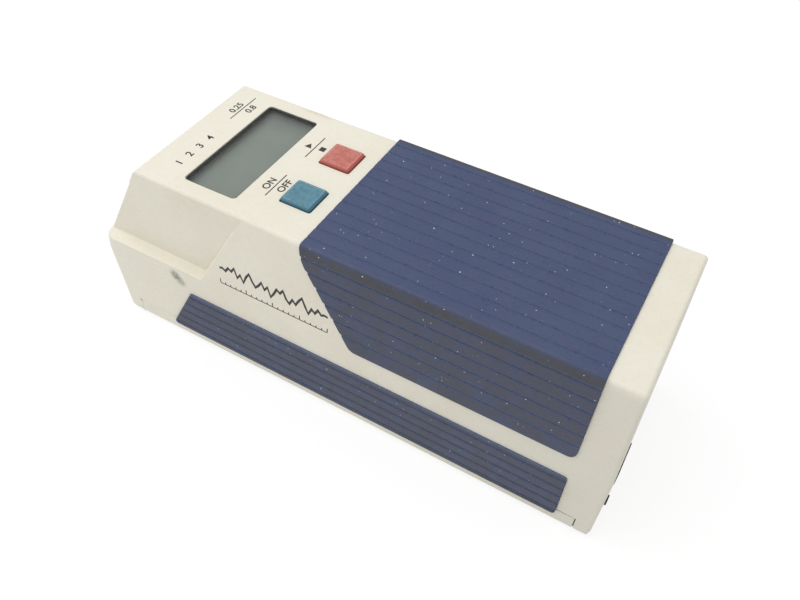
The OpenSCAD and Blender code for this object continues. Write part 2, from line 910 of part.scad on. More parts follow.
// One casting: two rails on the cover's bosses, a bracket at each end and a plate for the motor
module drive_frame()
    color(ALLOY)
        difference() {
            union() {
                for (side = [-1, 1])
                    box([front_x, side > 0 ? rail_y : -rail_y - rail_w, rail_z],
                        [side > 0 ? gearhead_x : rear_x + bracket_t,
                            side > 0 ? rail_y + rail_w : -rail_y, rail_z + rail_t]);
                for (x = [front_x, rear_x])
                    box([x, -frame_w / 2, rail_z], [x + bracket_t, frame_w / 2, bracket_top]);
                box([motor_plate_x, motor_y - motor_d / 2, rail_z],
                    [gearhead_x, motor_y + motor_d / 2, screw_z + motor_d / 2]);
            }
            box([front_x - past, -pickup_d / 2 - notch_gap, 0],
                [front_x + bracket_t + past, pickup_d / 2 + notch_gap, pickup_z + pickup_d / 2 + side_gap]);
            rod_x(front_x - past, rear_x + bracket_t + past, bush_r + seat_fit, 0, screw_z);
            for (side = [-1, 1])
                rod_x(front_x - past, rear_x + bracket_t + past, guide_d / 2 + seat_fit,
                    side * guide_pitch / 2, guide_z);
            rod_x(motor_plate_x - past, gearhead_x + past, pilot_r + seat_fit, motor_y, screw_z);
            at_frame_screws()
                rod_z(rail_z - past, rail_z + rail_t + past, frame_screw_d / 2 + side_gap);
        }

module guide_rods()
    color(STEEL)
        for (side = [-1, 1])
            rod_x(front_x, rear_x + bracket_t, guide_d / 2, side * guide_pitch / 2, guide_z);

module lead_screw()
    color(STEEL) {
        rod_x(front_x + bracket_t + side_gap, rear_x - side_gap, screw_d / 2, 0, screw_z);
        rod_x(front_x, gear_x + gear_w + side_gap, journal_d / 2, 0, screw_z);
    }

module bush(x)
    difference() {
        rod_x(x, x + bracket_t, bush_r, 0, screw_z);
        rod_x(x - past, x + bracket_t + past, journal_d / 2 + run_fit, 0, screw_z);
    }

module front_bush()
    color(BRASS)
        bush(front_x);

module rear_bush()
    color(BRASS)
        bush(rear_x);

// Involute gear outline; backlash is taken off each tooth
function involute(rb, t) = rb * [cos(t) + t * PI / 180 * sin(t), sin(t) - t * PI / 180 * cos(t)];
function swing(p, a) = [p.x * cos(a) - p.y * sin(a), p.x * sin(a) + p.y * cos(a)];
function gear_outline(teeth) =
    let (r = gear_module * teeth / 2, rb = r * cos(pressure_angle), tip = r + gear_module)
    let (root = r - 1.25 * gear_module, low = max(rb, root))
    let (t0 = sqrt(pow(low / rb, 2) - 1) * 180 / PI, t1 = sqrt(pow(tip / rb, 2) - 1) * 180 / PI)
    let (half = 90 / teeth - backlash / r * 45 / PI + tan(pressure_angle) * 180 / PI - pressure_angle)
    [for (k = [0:teeth - 1]) each let (a = k * 360 / teeth) concat(
        [swing([root, 0], a - half)],
        [for (i = [0:flank_steps]) swing(involute(rb, t0 + (t1 - t0) * i / flank_steps), a - half)],
        [for (i = [flank_steps:-1:0]) let (p = involute(rb, t0 + (t1 - t0) * i / flank_steps))
            swing([p.x, -p.y], a + half)],
        [swing([root, 0], a + half)]
    )];

module spur_gear(teeth, bore_r, phase)
    along_x(gear_x, gear_x + gear_w)
        difference() {
            rotate(phase)
                polygon(gear_outline(teeth));
            circle(r = bore_r);
        }

module screw_gear()
    color(BRASS)
        translate([0, 0, screw_z])
            spur_gear(gear_teeth, journal_d / 2 + seat_fit, 0);

// Half a tooth of turn puts a gap of the pinion opposite a tooth of the gear
module motor_pinion()
    color(BRASS)
        translate([0, motor_y, screw_z])
            spur_gear(pinion_teeth, shaft_r + seat_fit, pinion_teeth % 2 == 0 ? 180 / pinion_teeth : 0);

module carriage()
    color(ALLOY)
        difference() {
            box([carriage_x0, -carriage_w / 2, carriage_z], [carriage_x1, carriage_w / 2, carriage_top]);
            for (side = [-1, 1])
                rod_x(carriage_x0 - past, carriage_x1 + past, guide_d / 2 + run_fit,
                    side * guide_pitch / 2, guide_z);
            rod_x(carriage_x0 - past, carriage_x1 + past, screw_d / 2 + run_fit, 0, screw_z);
            rod_x(carriage_x0 - past, pickup_x1, pickup_d / 2 + seat_fit, 0, pickup_z);
        }

// The tube is open at the front, and slotted below for the stylus
module pickup_body()
    color(STEEL)
        difference() {
            rod_x(pickup_x0, pickup_x1, pickup_d / 2, 0, pickup_z);
            rod_x(pickup_x0 - past, pivot_x + bore_tail, pickup_d / 2 - pickup_wall, 0, pickup_z);
            box([tip_x - tip_slot.x / 2, -tip_slot.y / 2, 0],
                [tip_x + tip_slot.x / 2, tip_slot.y / 2, pickup_z]);
            rod_y(-pickup_d, pickup_d, pivot_r + seat_fit, pivot_x, pickup_z);
        }

// The skid hangs under the tube, and its sole is rounded along the stroke
module pickup_skid()
    color(STEEL)
        difference() {
            intersection() {
                box([skid_x, -skid_w / 2, stylus_lift], [skid_x + skid_l, skid_w / 2, pickup_z]);
                rod_y(-skid_w, skid_w, skid_r, skid_x + skid_l / 2, stylus_lift + skid_r);
            }
            rod_x(skid_x - past, skid_x + skid_l + past, pickup_d / 2, 0, pickup_z);
        }

module stylus_arm()
    color(ALLOY)
        difference() {
            union() {
                rod_x(tip_x - arm_r, pivot_x + arm_tail, arm_r, 0, pickup_z);
                rod_y(-arm_hub_r, arm_hub_r, arm_hub_r, pivot_x, pickup_z);
                rod_z(stylus_lift + tip_l, pickup_z, tip_r, tip_x, 0);
            }
            rod_y(-pickup_d, pickup_d, pivot_r + run_fit, pivot_x, pickup_z);
        }

// A cone that ends in a small flat
module stylus_tip()
    color(BLACK)
        translate([tip_x, 0, stylus_lift])
            cylinder(h = tip_l, r1 = tip_r / 10, r2 = tip_r);

module pivot_pin()
    color(STEEL)
        rod_y(-pickup_d / 2 + side_gap, pickup_d / 2 - side_gap, pivot_r, pivot_x, pickup_z);

module gearhead()
    color(STEEL)
        difference() {
            union() {
                rod_x(gearhead_x, gearhead_x + gearhead_l, motor_d / 2, motor_y, screw_z);
                rod_x(motor_plate_x, gearhead_x + lap, pilot_r, motor_y, screw_z);
            }
            rod_x(motor_plate_x - past, gearhead_x + gearhead_l - gearhead_back,
                shaft_r + run_fit, motor_y, screw_z);
        }

module drive_motor()
    color(STEEL)
        along_x(gearhead_x + gearhead_l, gearhead_x + gearhead_l + can_l)
            translate([motor_y, screw_z])
                intersection() {
                    circle(d = motor_d);
                    square([motor_d, motor_d * motor_flat_share], center = true);
                }

module motor_shaft()
    color(STEEL)
        rod_x(gear_x - side_gap, gearhead_x + gearhead_l - gearhead_back - side_gap,
            shaft_r, motor_y, screw_z);

module rubber_feet()
    color(BLACK)
        at_feet()
            rod_z(0, base_z + foot_pocket, foot_d / 2);

upper_case();
bottom_cover();
grip_cover();
grip_strip_near();
grip_strip_far();
display_window();
lcd_panel();
lcd_holder();
blue_key();
red_key();
blue_plunger();
red_plunger();
blue_switch();
red_switch();
main_board();
board_screws();
battery_pack();
battery_tray();
tray_screws();
rear_board();
data_socket();
power_jack();
drive_frame();
frame_screws();
guide_rods();
lead_screw();
front_bush();
rear_bush();
screw_gear();
carriage();
pickup_body();
pickup_skid();
stylus_arm();
stylus_tip();
pivot_pin();
drive_motor();
gearhead();
motor_shaft();
motor_pinion();
case_screws();
rubber_feet();
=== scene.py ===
"""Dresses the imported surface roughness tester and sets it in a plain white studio.

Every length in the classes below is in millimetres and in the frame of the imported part: +X runs from
the nose to the rear end, +Y to the far side, +Z up. Meshes are made in metres.
"""

import logging
import math
from dataclasses import dataclass
from enum import Enum
from typing import Callable, Iterable, Sequence, Union

import bmesh
import bpy
from bmesh.types import BMEdge, BMesh, BMFace, BMVert
from mathutils import Matrix, Vector


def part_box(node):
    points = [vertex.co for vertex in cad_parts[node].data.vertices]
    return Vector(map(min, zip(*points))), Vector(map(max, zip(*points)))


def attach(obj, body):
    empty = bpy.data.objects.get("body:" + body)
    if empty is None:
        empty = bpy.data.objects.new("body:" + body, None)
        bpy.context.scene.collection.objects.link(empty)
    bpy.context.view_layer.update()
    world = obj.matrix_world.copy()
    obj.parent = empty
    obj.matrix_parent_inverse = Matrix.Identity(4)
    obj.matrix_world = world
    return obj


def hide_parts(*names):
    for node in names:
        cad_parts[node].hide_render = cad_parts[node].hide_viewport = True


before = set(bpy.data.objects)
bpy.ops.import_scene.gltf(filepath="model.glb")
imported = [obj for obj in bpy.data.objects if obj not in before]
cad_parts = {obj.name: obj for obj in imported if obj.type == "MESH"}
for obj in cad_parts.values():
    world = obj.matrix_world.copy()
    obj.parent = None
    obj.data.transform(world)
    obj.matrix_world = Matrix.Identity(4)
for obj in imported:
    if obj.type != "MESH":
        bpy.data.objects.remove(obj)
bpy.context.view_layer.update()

LOG = logging.getLogger("tester")
MM = 0.001
SNAP = 0.001 * MM
SHARP = math.radians(38.0)
FLAT = math.radians(0.5)
FULL_TURN = 2.0 * math.pi
WHITE = (1.0, 1.0, 1.0)
ALONG, UP = (1.0, 0.0, 0.0), (0.0, 0.0, 1.0)

Material = bpy.types.Material
Socket = bpy.types.NodeSocket
Colour = tuple[float, float, float]
Point = tuple[float, float, float]
Span = tuple[float, float]
Line = Sequence[Span]
Value = Union[float, Colour, Socket]


class Body(Enum):
    """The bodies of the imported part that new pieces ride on."""

    CASE = "case"
    BLUE_KEY = "blue_key"
    RED_KEY = "red_key"
    SCREW = "lead_screw"
    CARRIAGE = "carriage"


@dataclass(frozen=True)
class Noise:
    """Fractal noise: features per millimetre, octaves, strength of the finer octaves, and distortion."""

    per_mm: float
    detail: float = 3.0
    rough: float = 0.5
    twist: float = 0.0


@dataclass(frozen=True)
class Patches:
    """Soft patches where noise rises from low to high, and how strongly they cover what is below."""

    noise: Noise
    low: float
    high: float
    strength: float = 1.0


@dataclass(frozen=True)
class Specks:
    """Round specks: cells per millimetre, largest radius, share of the cells that hold one, and strength."""

    per_mm: float
    radius: float
    share: float
    strength: float
    edge: float = 0.4


@dataclass(frozen=True)
class Relief:
    """A height map made of noise: its depth and the share of it that shows."""

    noise: Noise
    depth: float
    strength: float


@dataclass(frozen=True)
class Stain:
    """A mark on the case: a soft patch of dirt at one place."""

    centre: Point
    reach: Point
    colour: Colour
    strength: float


class Graph:
    """The shader nodes of one material, built around its Principled shader."""

    def __init__(self, name: str) -> None:
        """Start a material whose patterns read Object coordinates in millimetres."""
        self.material = bpy.data.materials.new(name)
        self.material.use_nodes = True
        self.tree = self.material.node_tree
        self.shader = self.tree.nodes["Principled BSDF"]
        coords = self.node("TexCoord").outputs["Object"]
        self.place: Socket = self.node("Mapping", Vector=coords, Scale=(1.0 / MM,) * 3).outputs["Vector"]

    def node(self, kind: str, **inputs: Value) -> bpy.types.ShaderNode:
        """Add a node and fill inputs by their names, with _ for a space."""
        made = self.tree.nodes.new("ShaderNode" + kind)
        for name, value in inputs.items():
            self.feed(made.inputs[name.replace("_", " ")], value)
        return made

    def feed(self, target: Socket, value: Value) -> None:
        """Link a socket to an input, or set the input to a plain value."""
        if isinstance(value, bpy.types.NodeSocket):
            self.tree.links.new(value, target)
        elif isinstance(value, tuple) and target.type == "RGBA":
            target.default_value = (*value, 1.0)
        else:
            target.default_value = value

    def set(self, name: str, value: Value) -> None:
        """Fill one input of the Principled shader."""
        self.feed(self.shader.inputs[name], value)

    def math(self, operation: str, a: Value, b: Value) -> Socket:
        """Add one arithmetic node and return its value."""
        made = self.node("Math")
        made.operation = operation
        self.feed(made.inputs[0], a)
        self.feed(made.inputs[1], b)
        return made.outputs["Value"]

    def times(self, a: Value, b: Value) -> Socket:
        """Multiply two values."""
        return self.math("MULTIPLY", a, b)

    def ramp(self, value: Value, low: float, high: float) -> Socket:
        """Spread a value smoothly from 0 at low to 1 at high, which may be the smaller."""
        rising = low < high
        made = self.node("MapRange", Value=value, From_Min=min(low, high), From_Max=max(low, high))
        made.interpolation_type = "SMOOTHSTEP"
        made.inputs["To Min"].default_value = float(not rising)
        made.inputs["To Max"].default_value = float(rising)
        return made.outputs["Result"]

    def mix(self, share: Value, a: Value, b: Value) -> Socket:
        """Mix two colours by the share of the second."""
        made = self.node("Mix")
        made.data_type = "RGBA"
        first, second = (s for s in made.inputs if s.type == "RGBA")
        self.feed(made.inputs["Factor"], share)
        self.feed(first, a)
        self.feed(second, b)
        return next(s for s in made.outputs if s.type == "RGBA")

    def axis(self, letter: str) -> Socket:
        """Return one coordinate, X, Y or Z, in millimetres."""
        return self.node("SeparateXYZ", Vector=self.place).outputs[letter]

    def attribute(self, name: str) -> Socket:
        """Return a number that is stored on the mesh."""
        made = self.node("Attribute")
        made.attribute_name = name
        return made.outputs["Fac"]

    def noise(self, look: Noise) -> Socket:
        """Add fractal noise, about 0.5 on average."""
        made = self.node("TexNoise", Vector=self.place, Scale=look.per_mm, Detail=look.detail)
        made.inputs["Roughness"].default_value = look.rough
        made.inputs["Distortion"].default_value = look.twist
        return made.outputs["Fac"]

    def patches(self, look: Patches) -> Socket:
        """Return soft patches, from 0 to 1."""
        return self.ramp(self.noise(look.noise), look.low, look.high)

    def specks(self, look: Specks) -> Socket:
        """Return 1 inside scattered specks of mixed sizes and 0 elsewhere."""
        cells = self.node("TexVoronoi", Vector=self.place, Scale=look.per_mm).outputs
        chance = self.node("SeparateColor", Color=cells["Color"]).outputs["Red"]
        radius = look.radius * look.per_mm
        size = self.times(self.ramp(chance, 1.0 - look.share, 1.0), radius)
        return self.ramp(self.math("SUBTRACT", size, cells["Distance"]), 0.0, radius * look.edge)

    def cover(self, colour: Value, look: Union[Patches, Specks], over: Colour) -> Socket:
        """Lay patches or specks of another colour over a colour."""
        pattern = self.patches(look) if isinstance(look, Patches) else self.specks(look)
        return self.mix(self.times(pattern, look.strength), colour, over)

    def near(self, centre: Point, reach: Point) -> Socket:
        """Return 1 at a point, falling to 0 at the surface of an ellipsoid with these half axes."""
        moved = self.node("Mapping", Vector=self.place, Location=centre, Scale=reach)
        moved.vector_type = "TEXTURE"
        length = self.node("VectorMath")
        length.operation = "LENGTH"
        self.feed(length.inputs[0], moved.outputs["Vector"])
        return self.ramp(length.outputs["Value"], 1.0, 0.0)

    def roughen(self, pattern: Value, span: Span) -> None:
        """Vary the roughness between two values by a pattern."""
        low, high = span
        self.set("Roughness", self.math("ADD", self.times(pattern, high - low), low))

    def bump(self, height: Socket, depth: float, strength: float) -> None:
        """Raise the surface by a height map from 0 to 1, on top of any earlier bump."""
        made = self.node("Bump", Strength=strength, Distance=depth * MM, Height=height)
        normal = self.shader.inputs["Normal"]
        if normal.is_linked:
            self.feed(made.inputs["Normal"], normal.links[0].from_socket)
        self.feed(normal, made.outputs["Normal"])

    def relief(self, look: Relief) -> None:
        """Raise the surface by noise."""
        self.bump(self.noise(look.noise), look.depth, look.strength)


class CasePlastic:
    """Cream moulded plastic: fine grain, faint mottling, handling marks, painted shade on the rear of its
    sides, and a parting line painted dark as shade.
    """

    name = "cream_case"
    cream = (0.80, 0.768, 0.660)
    aged = (0.73, 0.668, 0.535)
    # The colour below serves the handling marks and also the painted shade on the rear of the sides.
    handling_and_shade = (0.56, 0.545, 0.490)
    dust = (0.36, 0.31, 0.24)
    # Near-black painted shade for the gap of the parting line.
    grime = (0.050, 0.043, 0.034)
    clouds = Patches(Noise(0.045, 4.0, 0.6), 0.35, 0.75, 0.45)
    grain = Patches(Noise(3.2, 2.0, 0.6), 0.45, 0.75, 0.3)
    handling = Patches(Noise(0.8, 3.0, 0.6), 0.45, 0.7, 0.12)
    # Painted shade: the sides darken towards the rear end, below the top face.
    rear_shade_x = (10.0, 78.0)
    rear_shade_z = (59.5, 57.0)
    rear_shade_share = 0.3
    specks = Specks(0.2, 0.22, 0.3, 0.5)
    breakup = Patches(Noise(0.8, 4.0, 0.7, 0.6), 0.25, 0.6)
    stains = (
        Stain((-52.0, -28.8, 26.1), (2.6, 3.5, 2.8), (0.30, 0.30, 0.26), 0.7),
        Stain((-53.0, -28.8, 27.1), (2.8, 3.5, 2.9), (0.24, 0.24, 0.21), 0.75),
        Stain((-54.0, -28.8, 28.2), (2.7, 3.5, 2.8), (0.15, 0.15, 0.13), 0.9),
        Stain((-73.4, -29.3, 6.4), (0.8, 0.8, 0.8), (0.26, 0.17, 0.10), 0.9),
        Stain((-36.0, 23.6, 60.0), (7.0, 1.4, 1.6), (0.50, 0.44, 0.34), 0.5),
    )
    seam_shade_share = 0.94
    polish = Noise(0.4)
    roughness = (0.46, 0.58)
    gloss = 0.35
    reliefs = (
        Relief(Noise(3.2, 2.0, 0.6), 0.03, 0.35),
        Relief(Noise(0.09, 2.0), 0.05, 0.12),
    )

    def make(self) -> Material:
        """Return the material, which reads how much shade is painted at a point of the parting line."""
        g = Graph(self.name)
        colour = g.cover(self.cream, self.clouds, self.aged)
        colour = g.cover(colour, self.grain, self.aged)
        colour = g.cover(colour, self.handling, self.handling_and_shade)
        # Painted shade: darken the sides towards the rear end.
        rear = g.times(g.ramp(g.axis("X"), *self.rear_shade_x), g.ramp(g.axis("Z"), *self.rear_shade_z))
        colour = g.mix(g.times(rear, self.rear_shade_share), colour, self.handling_and_shade)
        colour = g.cover(colour, self.specks, self.dust)
        breakup = g.patches(self.breakup)
        for stain in self.stains:
            patch = g.times(g.near(stain.centre, stain.reach), breakup)
            colour = g.mix(g.times(patch, stain.strength), colour, stain.colour)
        # Painted shade: the gap of the parting line is darkened towards black by the stored seam value.
        g.set("Base Color", g.mix(g.times(g.attribute("seam"), self.seam_shade_share), colour, self.grime))
        g.roughen(g.noise(self.polish), self.roughness)
        g.set("Specular IOR Level", self.gloss)
        for relief in self.reliefs:
            g.relief(relief)
        return g.material


class GripPlastic:
    """Navy ribbed plastic: lightened in its grooves by painted light against their shade, dusty and with a
    painted sheen on its sides, dusty on its folds, with pale specks of dust.
    """

    name = "navy_grip"
    navy = (0.047, 0.066, 0.142)
    worn = (0.066, 0.088, 0.165)
    violet = (0.066, 0.066, 0.150)
    deep = (0.030, 0.044, 0.105)
    # Pale colour painted into the grooves as light, against their shade.
    groove = (0.135, 0.165, 0.255)
    # The colour below serves real dust, and also the painted sheen on the sides.
    dust = (0.082, 0.075, 0.062)
    grime = (0.060, 0.058, 0.053)
    lint = (0.80, 0.80, 0.78)
    clouds = Patches(Noise(0.06, 4.0, 0.6), 0.35, 0.7, 0.55)
    tints = Patches(Noise(0.33, 3.0, 0.6, 0.4), 0.48, 0.7, 0.5)
    smears = Patches(Noise(0.16, 5.0, 0.65, 0.8), 0.2, 0.62, 0.6)
    sheen_and_dust_z = (60.3, 56.0)
    folds = (
        ((31.0, -25.4, 58.6), (220.0, 2.6, 2.8)),
        ((31.0, 24.6, 60.6), (220.0, 1.7, 2.0)),
    )
    streaks = Patches(Noise(0.25, 4.0, 0.6), 0.1, 0.5)
    # Painted light: how far the pale colour spreads down the groove walls, with less on the floors.
    groove_fill_light = (0.05, 0.5)
    groove_fill_light_share = 0.95
    floor = (0.85, 1.0)
    floor_loss = 0.6
    grain = Patches(Noise(2.4, 3.0, 0.65), 0.45, 0.7, 0.4)
    mottle = Patches(Noise(1.1, 3.0, 0.6), 0.52, 0.72, 0.35)
    small_lint = Specks(0.75, 0.17, 0.55, 0.8)
    large_lint = Specks(0.4, 0.25, 0.35, 0.85)
    crumbs = Specks(0.23, 0.3, 0.4, 0.5)
    roughness = (0.46, 0.60)
    dull = (0.0, 0.4)
    gloss = 0.4
    gloss_loss = 0.38
    relief = Relief(Noise(4.5, 2.0, 0.6), 0.025, 0.4)

    def make(self) -> Material:
        """Return the material, which reads the mesh's groove depth."""
        g = Graph(self.name)
        colour = g.cover(self.navy, self.clouds, self.worn)
        colour = g.cover(colour, self.tints, self.violet)
        smear = g.patches(self.smears)
        # Dust and painted sheen: the sides below the top are greyed.
        side = g.times(smear, g.ramp(g.axis("Z"), *self.sheen_and_dust_z))
        colour = g.mix(g.times(side, self.smears.strength), colour, self.dust)
        fold = g.math("MAXIMUM", *(g.near(*fold) for fold in self.folds))
        colour = g.mix(g.times(fold, g.patches(self.streaks)), colour, self.grime)
        # Painted light: the grooves are paler, mostly on their walls, against the shade in them.
        depth = g.attribute("groove")
        floor = g.times(g.ramp(depth, *self.floor), self.floor_loss)
        groove_fill_light = g.times(g.ramp(depth, *self.groove_fill_light), g.math("SUBTRACT", self.groove_fill_light_share, floor))
        colour = g.mix(groove_fill_light, colour, self.groove)
        for look, over in (
            (self.grain, self.worn), (self.mottle, self.deep), (self.small_lint, self.lint),
            (self.large_lint, self.lint), (self.crumbs, self.dust),
        ):
            colour = g.cover(colour, look, over)
        g.set("Base Color", colour)
        g.roughen(smear, self.roughness)
        dull = g.times(g.ramp(depth, *self.dull), self.gloss_loss)
        g.set("Specular IOR Level", g.math("SUBTRACT", self.gloss, dull))
        g.relief(self.relief)
        return g.material


@dataclass(frozen=True)
class KeyPlastic:
    """Satin key plastic: deep on its sides, worn pale round its dusty crown with a painted highlight along
    that edge, with a little grime.
    """

    name: str
    colour: Colour
    pale: Colour
    dark: Colour
    # The worn colour below is also the painted highlight along the crown's edge.
    worn: Colour
    dust = Patches(Noise(0.7, 5.0, 0.68, 0.5), 0.28, 0.66, 0.85)
    grime = Patches(Noise(1.6, 4.0, 0.7), 0.6, 0.8, 0.4)
    rubbing_and_highlight = Patches(Noise(1.1, 3.0, 0.6), 0.3, 0.6, 0.7)
    highlit_border = ((0.35, 0.75), (1.0, 0.9))
    roughness = (0.4, 0.55)
    gloss = 0.45
    relief = Relief(Noise(3.0, 2.0), 0.02, 0.3)

    def make(self) -> Material:
        """Return the material, which reads how near a point lies to the key's rim."""
        g = Graph(self.name)
        rim = g.attribute("rim")
        dusty = g.times(g.math("SUBTRACT", 1.0, rim), g.patches(self.dust))
        colour = g.mix(g.times(dusty, self.dust.strength), self.colour, self.pale)
        colour = g.cover(colour, self.grime, self.dark)
        # Worn edge and painted highlight: a pale line along the edge of the crown.
        highlit_border = g.times(*(g.ramp(rim, *span) for span in self.highlit_border))
        rubbed_and_highlit = g.times(highlit_border, g.patches(self.rubbing_and_highlight))
        g.set("Base Color", g.mix(g.times(rubbed_and_highlit, self.rubbing_and_highlight.strength), colour, self.worn))
        g.roughen(dusty, self.roughness)
        g.set("Specular IOR Level", self.gloss)
        g.relief(self.relief)
        return g.material


class DisplayGlass:
    """A blank reflective display: grey-green, with painted shade towards its far and front edges, finely
    fibred.
    """

    name = "blank_display"
    green = (0.147, 0.184, 0.152)
    shade = (0.119, 0.147, 0.123)
    # Painted shade along the far and front edges, where the opening shades the display.
    edge = (0.078, 0.090, 0.079)
    clouds = Patches(Noise(0.12), 0.3, 0.7, 0.35)
    fibres = Noise(7.0, 2.0)
    fibre_share = 0.3
    far_shade_y = (10.7, 20.7)
    front_shade_x = (-45.5, -51.0)
    edge_shade_share = 0.75
    roughness = (0.3, 0.4)
    relief = (0.01, 0.15)

    def make(self) -> Material:
        """Return the material."""
        g = Graph(self.name)
        fibre = g.noise(self.fibres)
        cloud = g.times(g.patches(self.clouds), self.clouds.strength)
        colour = g.mix(g.math("ADD", cloud, g.times(fibre, self.fibre_share)), self.green, self.shade)
        # Painted shade: darken towards the far and front edges.
        edge = g.math("MAXIMUM", g.ramp(g.axis("Y"), *self.far_shade_y), g.ramp(g.axis("X"), *self.front_shade_x))
        g.set("Base Color", g.mix(g.times(edge, self.edge_shade_share), colour, self.edge))
        g.roughen(fibre, self.roughness)
        g.bump(fibre, *self.relief)
        return g.material


class ClearPane:
    """A clear plastic pane with a little haze."""

    name = "clear_pane"
    tint = (0.90, 0.93, 0.91)
    hazy = (0.80, 0.84, 0.82)
    haze = Noise(0.3, 4.0, 0.6)
    haze_share = 0.3
    roughness = (0.12, 0.20)
    alpha = 0.05

    def make(self) -> Material:
        """Return the material."""
        g = Graph(self.name)
        haze = g.noise(self.haze)
        g.set("Base Color", g.mix(g.times(haze, self.haze_share), self.tint, self.hazy))
        g.roughen(haze, self.roughness)
        g.set("Alpha", self.alpha)
        return g.material


@dataclass(frozen=True)
class PlainPlastic:
    """Plain moulded plastic, rubber, sleeve or board with a fine grain."""

    name: str
    colour: Colour
    second: Colour
    roughness: float
    clouds = Patches(Noise(0.2, 4.0, 0.6), 0.35, 0.7, 0.5)
    dulling = 0.12
    grain = Noise(2.0, 2.0, 0.6)
    grain_share = 0.25
    relief = (0.02, 0.4)

    def make(self) -> Material:
        """Return the material."""
        g = Graph(self.name)
        cloud, fine = g.patches(self.clouds), g.noise(self.grain)
        share = g.math("ADD", g.times(cloud, self.clouds.strength), g.times(fine, self.grain_share))
        g.set("Base Color", g.mix(share, self.colour, self.second))
        g.roughen(cloud, (self.roughness, self.roughness + self.dulling))
        g.bump(fine, *self.relief)
        return g.material


@dataclass(frozen=True)
class Metal:
    """Machined metal with fine tool marks across the X axis."""

    name: str
    colour: Colour
    stained: Colour
    roughness: float
    clouds = Patches(Noise(0.25, 4.0, 0.6), 0.35, 0.75, 0.5)
    marks = 5.0
    waver = 3.0
    dulling = 0.1
    relief = (0.008, 0.25)

    def make(self) -> Material:
        """Return the material."""
        g = Graph(self.name)
        wave = g.node("TexWave", Vector=g.place, Scale=self.marks, Distortion=self.waver, Detail=self.waver)
        wave.bands_direction = "X"
        lines = wave.outputs["Fac"]
        g.set("Base Color", g.cover(self.colour, self.clouds, self.stained))
        g.set("Metallic", 1.0)
        g.roughen(lines, (self.roughness, self.roughness + self.dulling))
        g.bump(lines, *self.relief)
        return g.material


class Ink:
    """Dark printing ink, slightly worn."""

    name = "printed_ink"
    colour = (0.030, 0.028, 0.027)
    worn = (0.12, 0.11, 0.10)
    wear = Patches(Noise(1.8, 5.0, 0.7), 0.52, 0.78, 0.5)
    roughness = (0.5, 0.7)

    def make(self) -> Material:
        """Return the material."""
        g = Graph(self.name)
        g.set("Base Color", g.cover(self.colour, self.wear, self.worn))
        g.roughen(g.patches(self.wear), self.roughness)
        return g.material


SHARED = (
    PlainPlastic("black_moulding", (0.020, 0.020, 0.021), (0.035, 0.035, 0.036), 0.45),
    # This grey is the display holder's own colour, and also the painted shade of the window's liner.
    PlainPlastic("bezel_and_shade_grey", (0.078, 0.080, 0.076), (0.098, 0.100, 0.095), 0.5),
    PlainPlastic("green_board", (0.020, 0.150, 0.070), (0.030, 0.190, 0.090), 0.4),
    PlainPlastic("cell_sleeve", (0.04, 0.08, 0.22), (0.05, 0.10, 0.26), 0.3),
    PlainPlastic("foot_rubber", (0.028, 0.028, 0.029), (0.05, 0.05, 0.05), 0.75),
    PlainPlastic("polished_tip", (0.10, 0.10, 0.11), (0.14, 0.14, 0.15), 0.1),
    Metal("plated_steel", (0.62, 0.63, 0.64), (0.48, 0.48, 0.47), 0.3),
    Metal("ground_steel", (0.60, 0.61, 0.63), (0.50, 0.51, 0.52), 0.22),
    Metal("turned_brass", (0.72, 0.53, 0.22), (0.55, 0.38, 0.15), 0.28),
    Metal("cast_alloy", (0.70, 0.71, 0.72), (0.58, 0.59, 0.60), 0.38),
)
# The last colour of each key is its worn edge and painted highlight.
BLUE = KeyPlastic(
    "blue_satin", (0.055, 0.178, 0.252), (0.122, 0.262, 0.322), (0.03, 0.09, 0.13), (0.34, 0.48, 0.54)
)
RED = KeyPlastic(
    "red_satin", (0.46, 0.105, 0.083), (0.55, 0.220, 0.175), (0.24, 0.06, 0.05), (0.74, 0.46, 0.40)
)


def link(name: str, data: bpy.types.ID) -> bpy.types.Object:
    """Add an object to the scene."""
    obj = bpy.data.objects.new(name, data)
    bpy.context.scene.collection.objects.link(obj)
    return obj


def to_mesh(name: str, bm: BMesh) -> bpy.types.Mesh:
    """Turn a mesh under construction into mesh data, and free it."""
    mesh = bpy.data.meshes.new(name)
    bm.to_mesh(mesh)
    bm.free()
    return mesh


def baked(holder: bpy.types.Object) -> bpy.types.Mesh:
    """Return an object's final mesh, and remove the object."""
    bpy.context.view_layer.update()
    ready = holder.evaluated_get(bpy.context.evaluated_depsgraph_get())
    mesh = bpy.data.meshes.new_from_object(ready)
    bpy.data.objects.remove(holder)
    return mesh


def place(bm: BMesh, finish: Material, name: str, slot: str, *nodes: str, body: Body = Body.CASE) -> None:
    """Turn a finished mesh into a piece that rides on its body and stands for these nodes."""
    mesh = to_mesh(name, bm)
    mesh.materials.append(finish)
    mesh.shade_smooth()
    mesh.set_sharp_from_angle(angle=SHARP)
    obj = link(name, mesh)
    obj.modifiers.new("flat_faces", "WEIGHTED_NORMAL").keep_sharp = True
    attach(obj, body.value)
    if nodes:
        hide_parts(*nodes)
    LOG.info("%s rides on %s: %d faces", name, body.value, len(mesh.polygons))


def paint(node: str, finish: Material) -> None:
    """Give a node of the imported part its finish."""
    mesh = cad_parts[node].data
    mesh.materials.clear()
    mesh.materials.append(finish)
    LOG.info("%s is finished in %s", node, finish.name)


def merged_copy(node: str) -> BMesh:
    """Copy a node's mesh, with its loose triangles merged and its flat faces made whole."""
    bm = bmesh.new()
    bm.from_mesh(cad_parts[node].data)
    bmesh.ops.remove_doubles(bm, verts=bm.verts, dist=SNAP)
    bmesh.ops.dissolve_limit(
        bm, angle_limit=FLAT, use_dissolve_boundaries=False, verts=bm.verts, edges=bm.edges
    )
    return bm


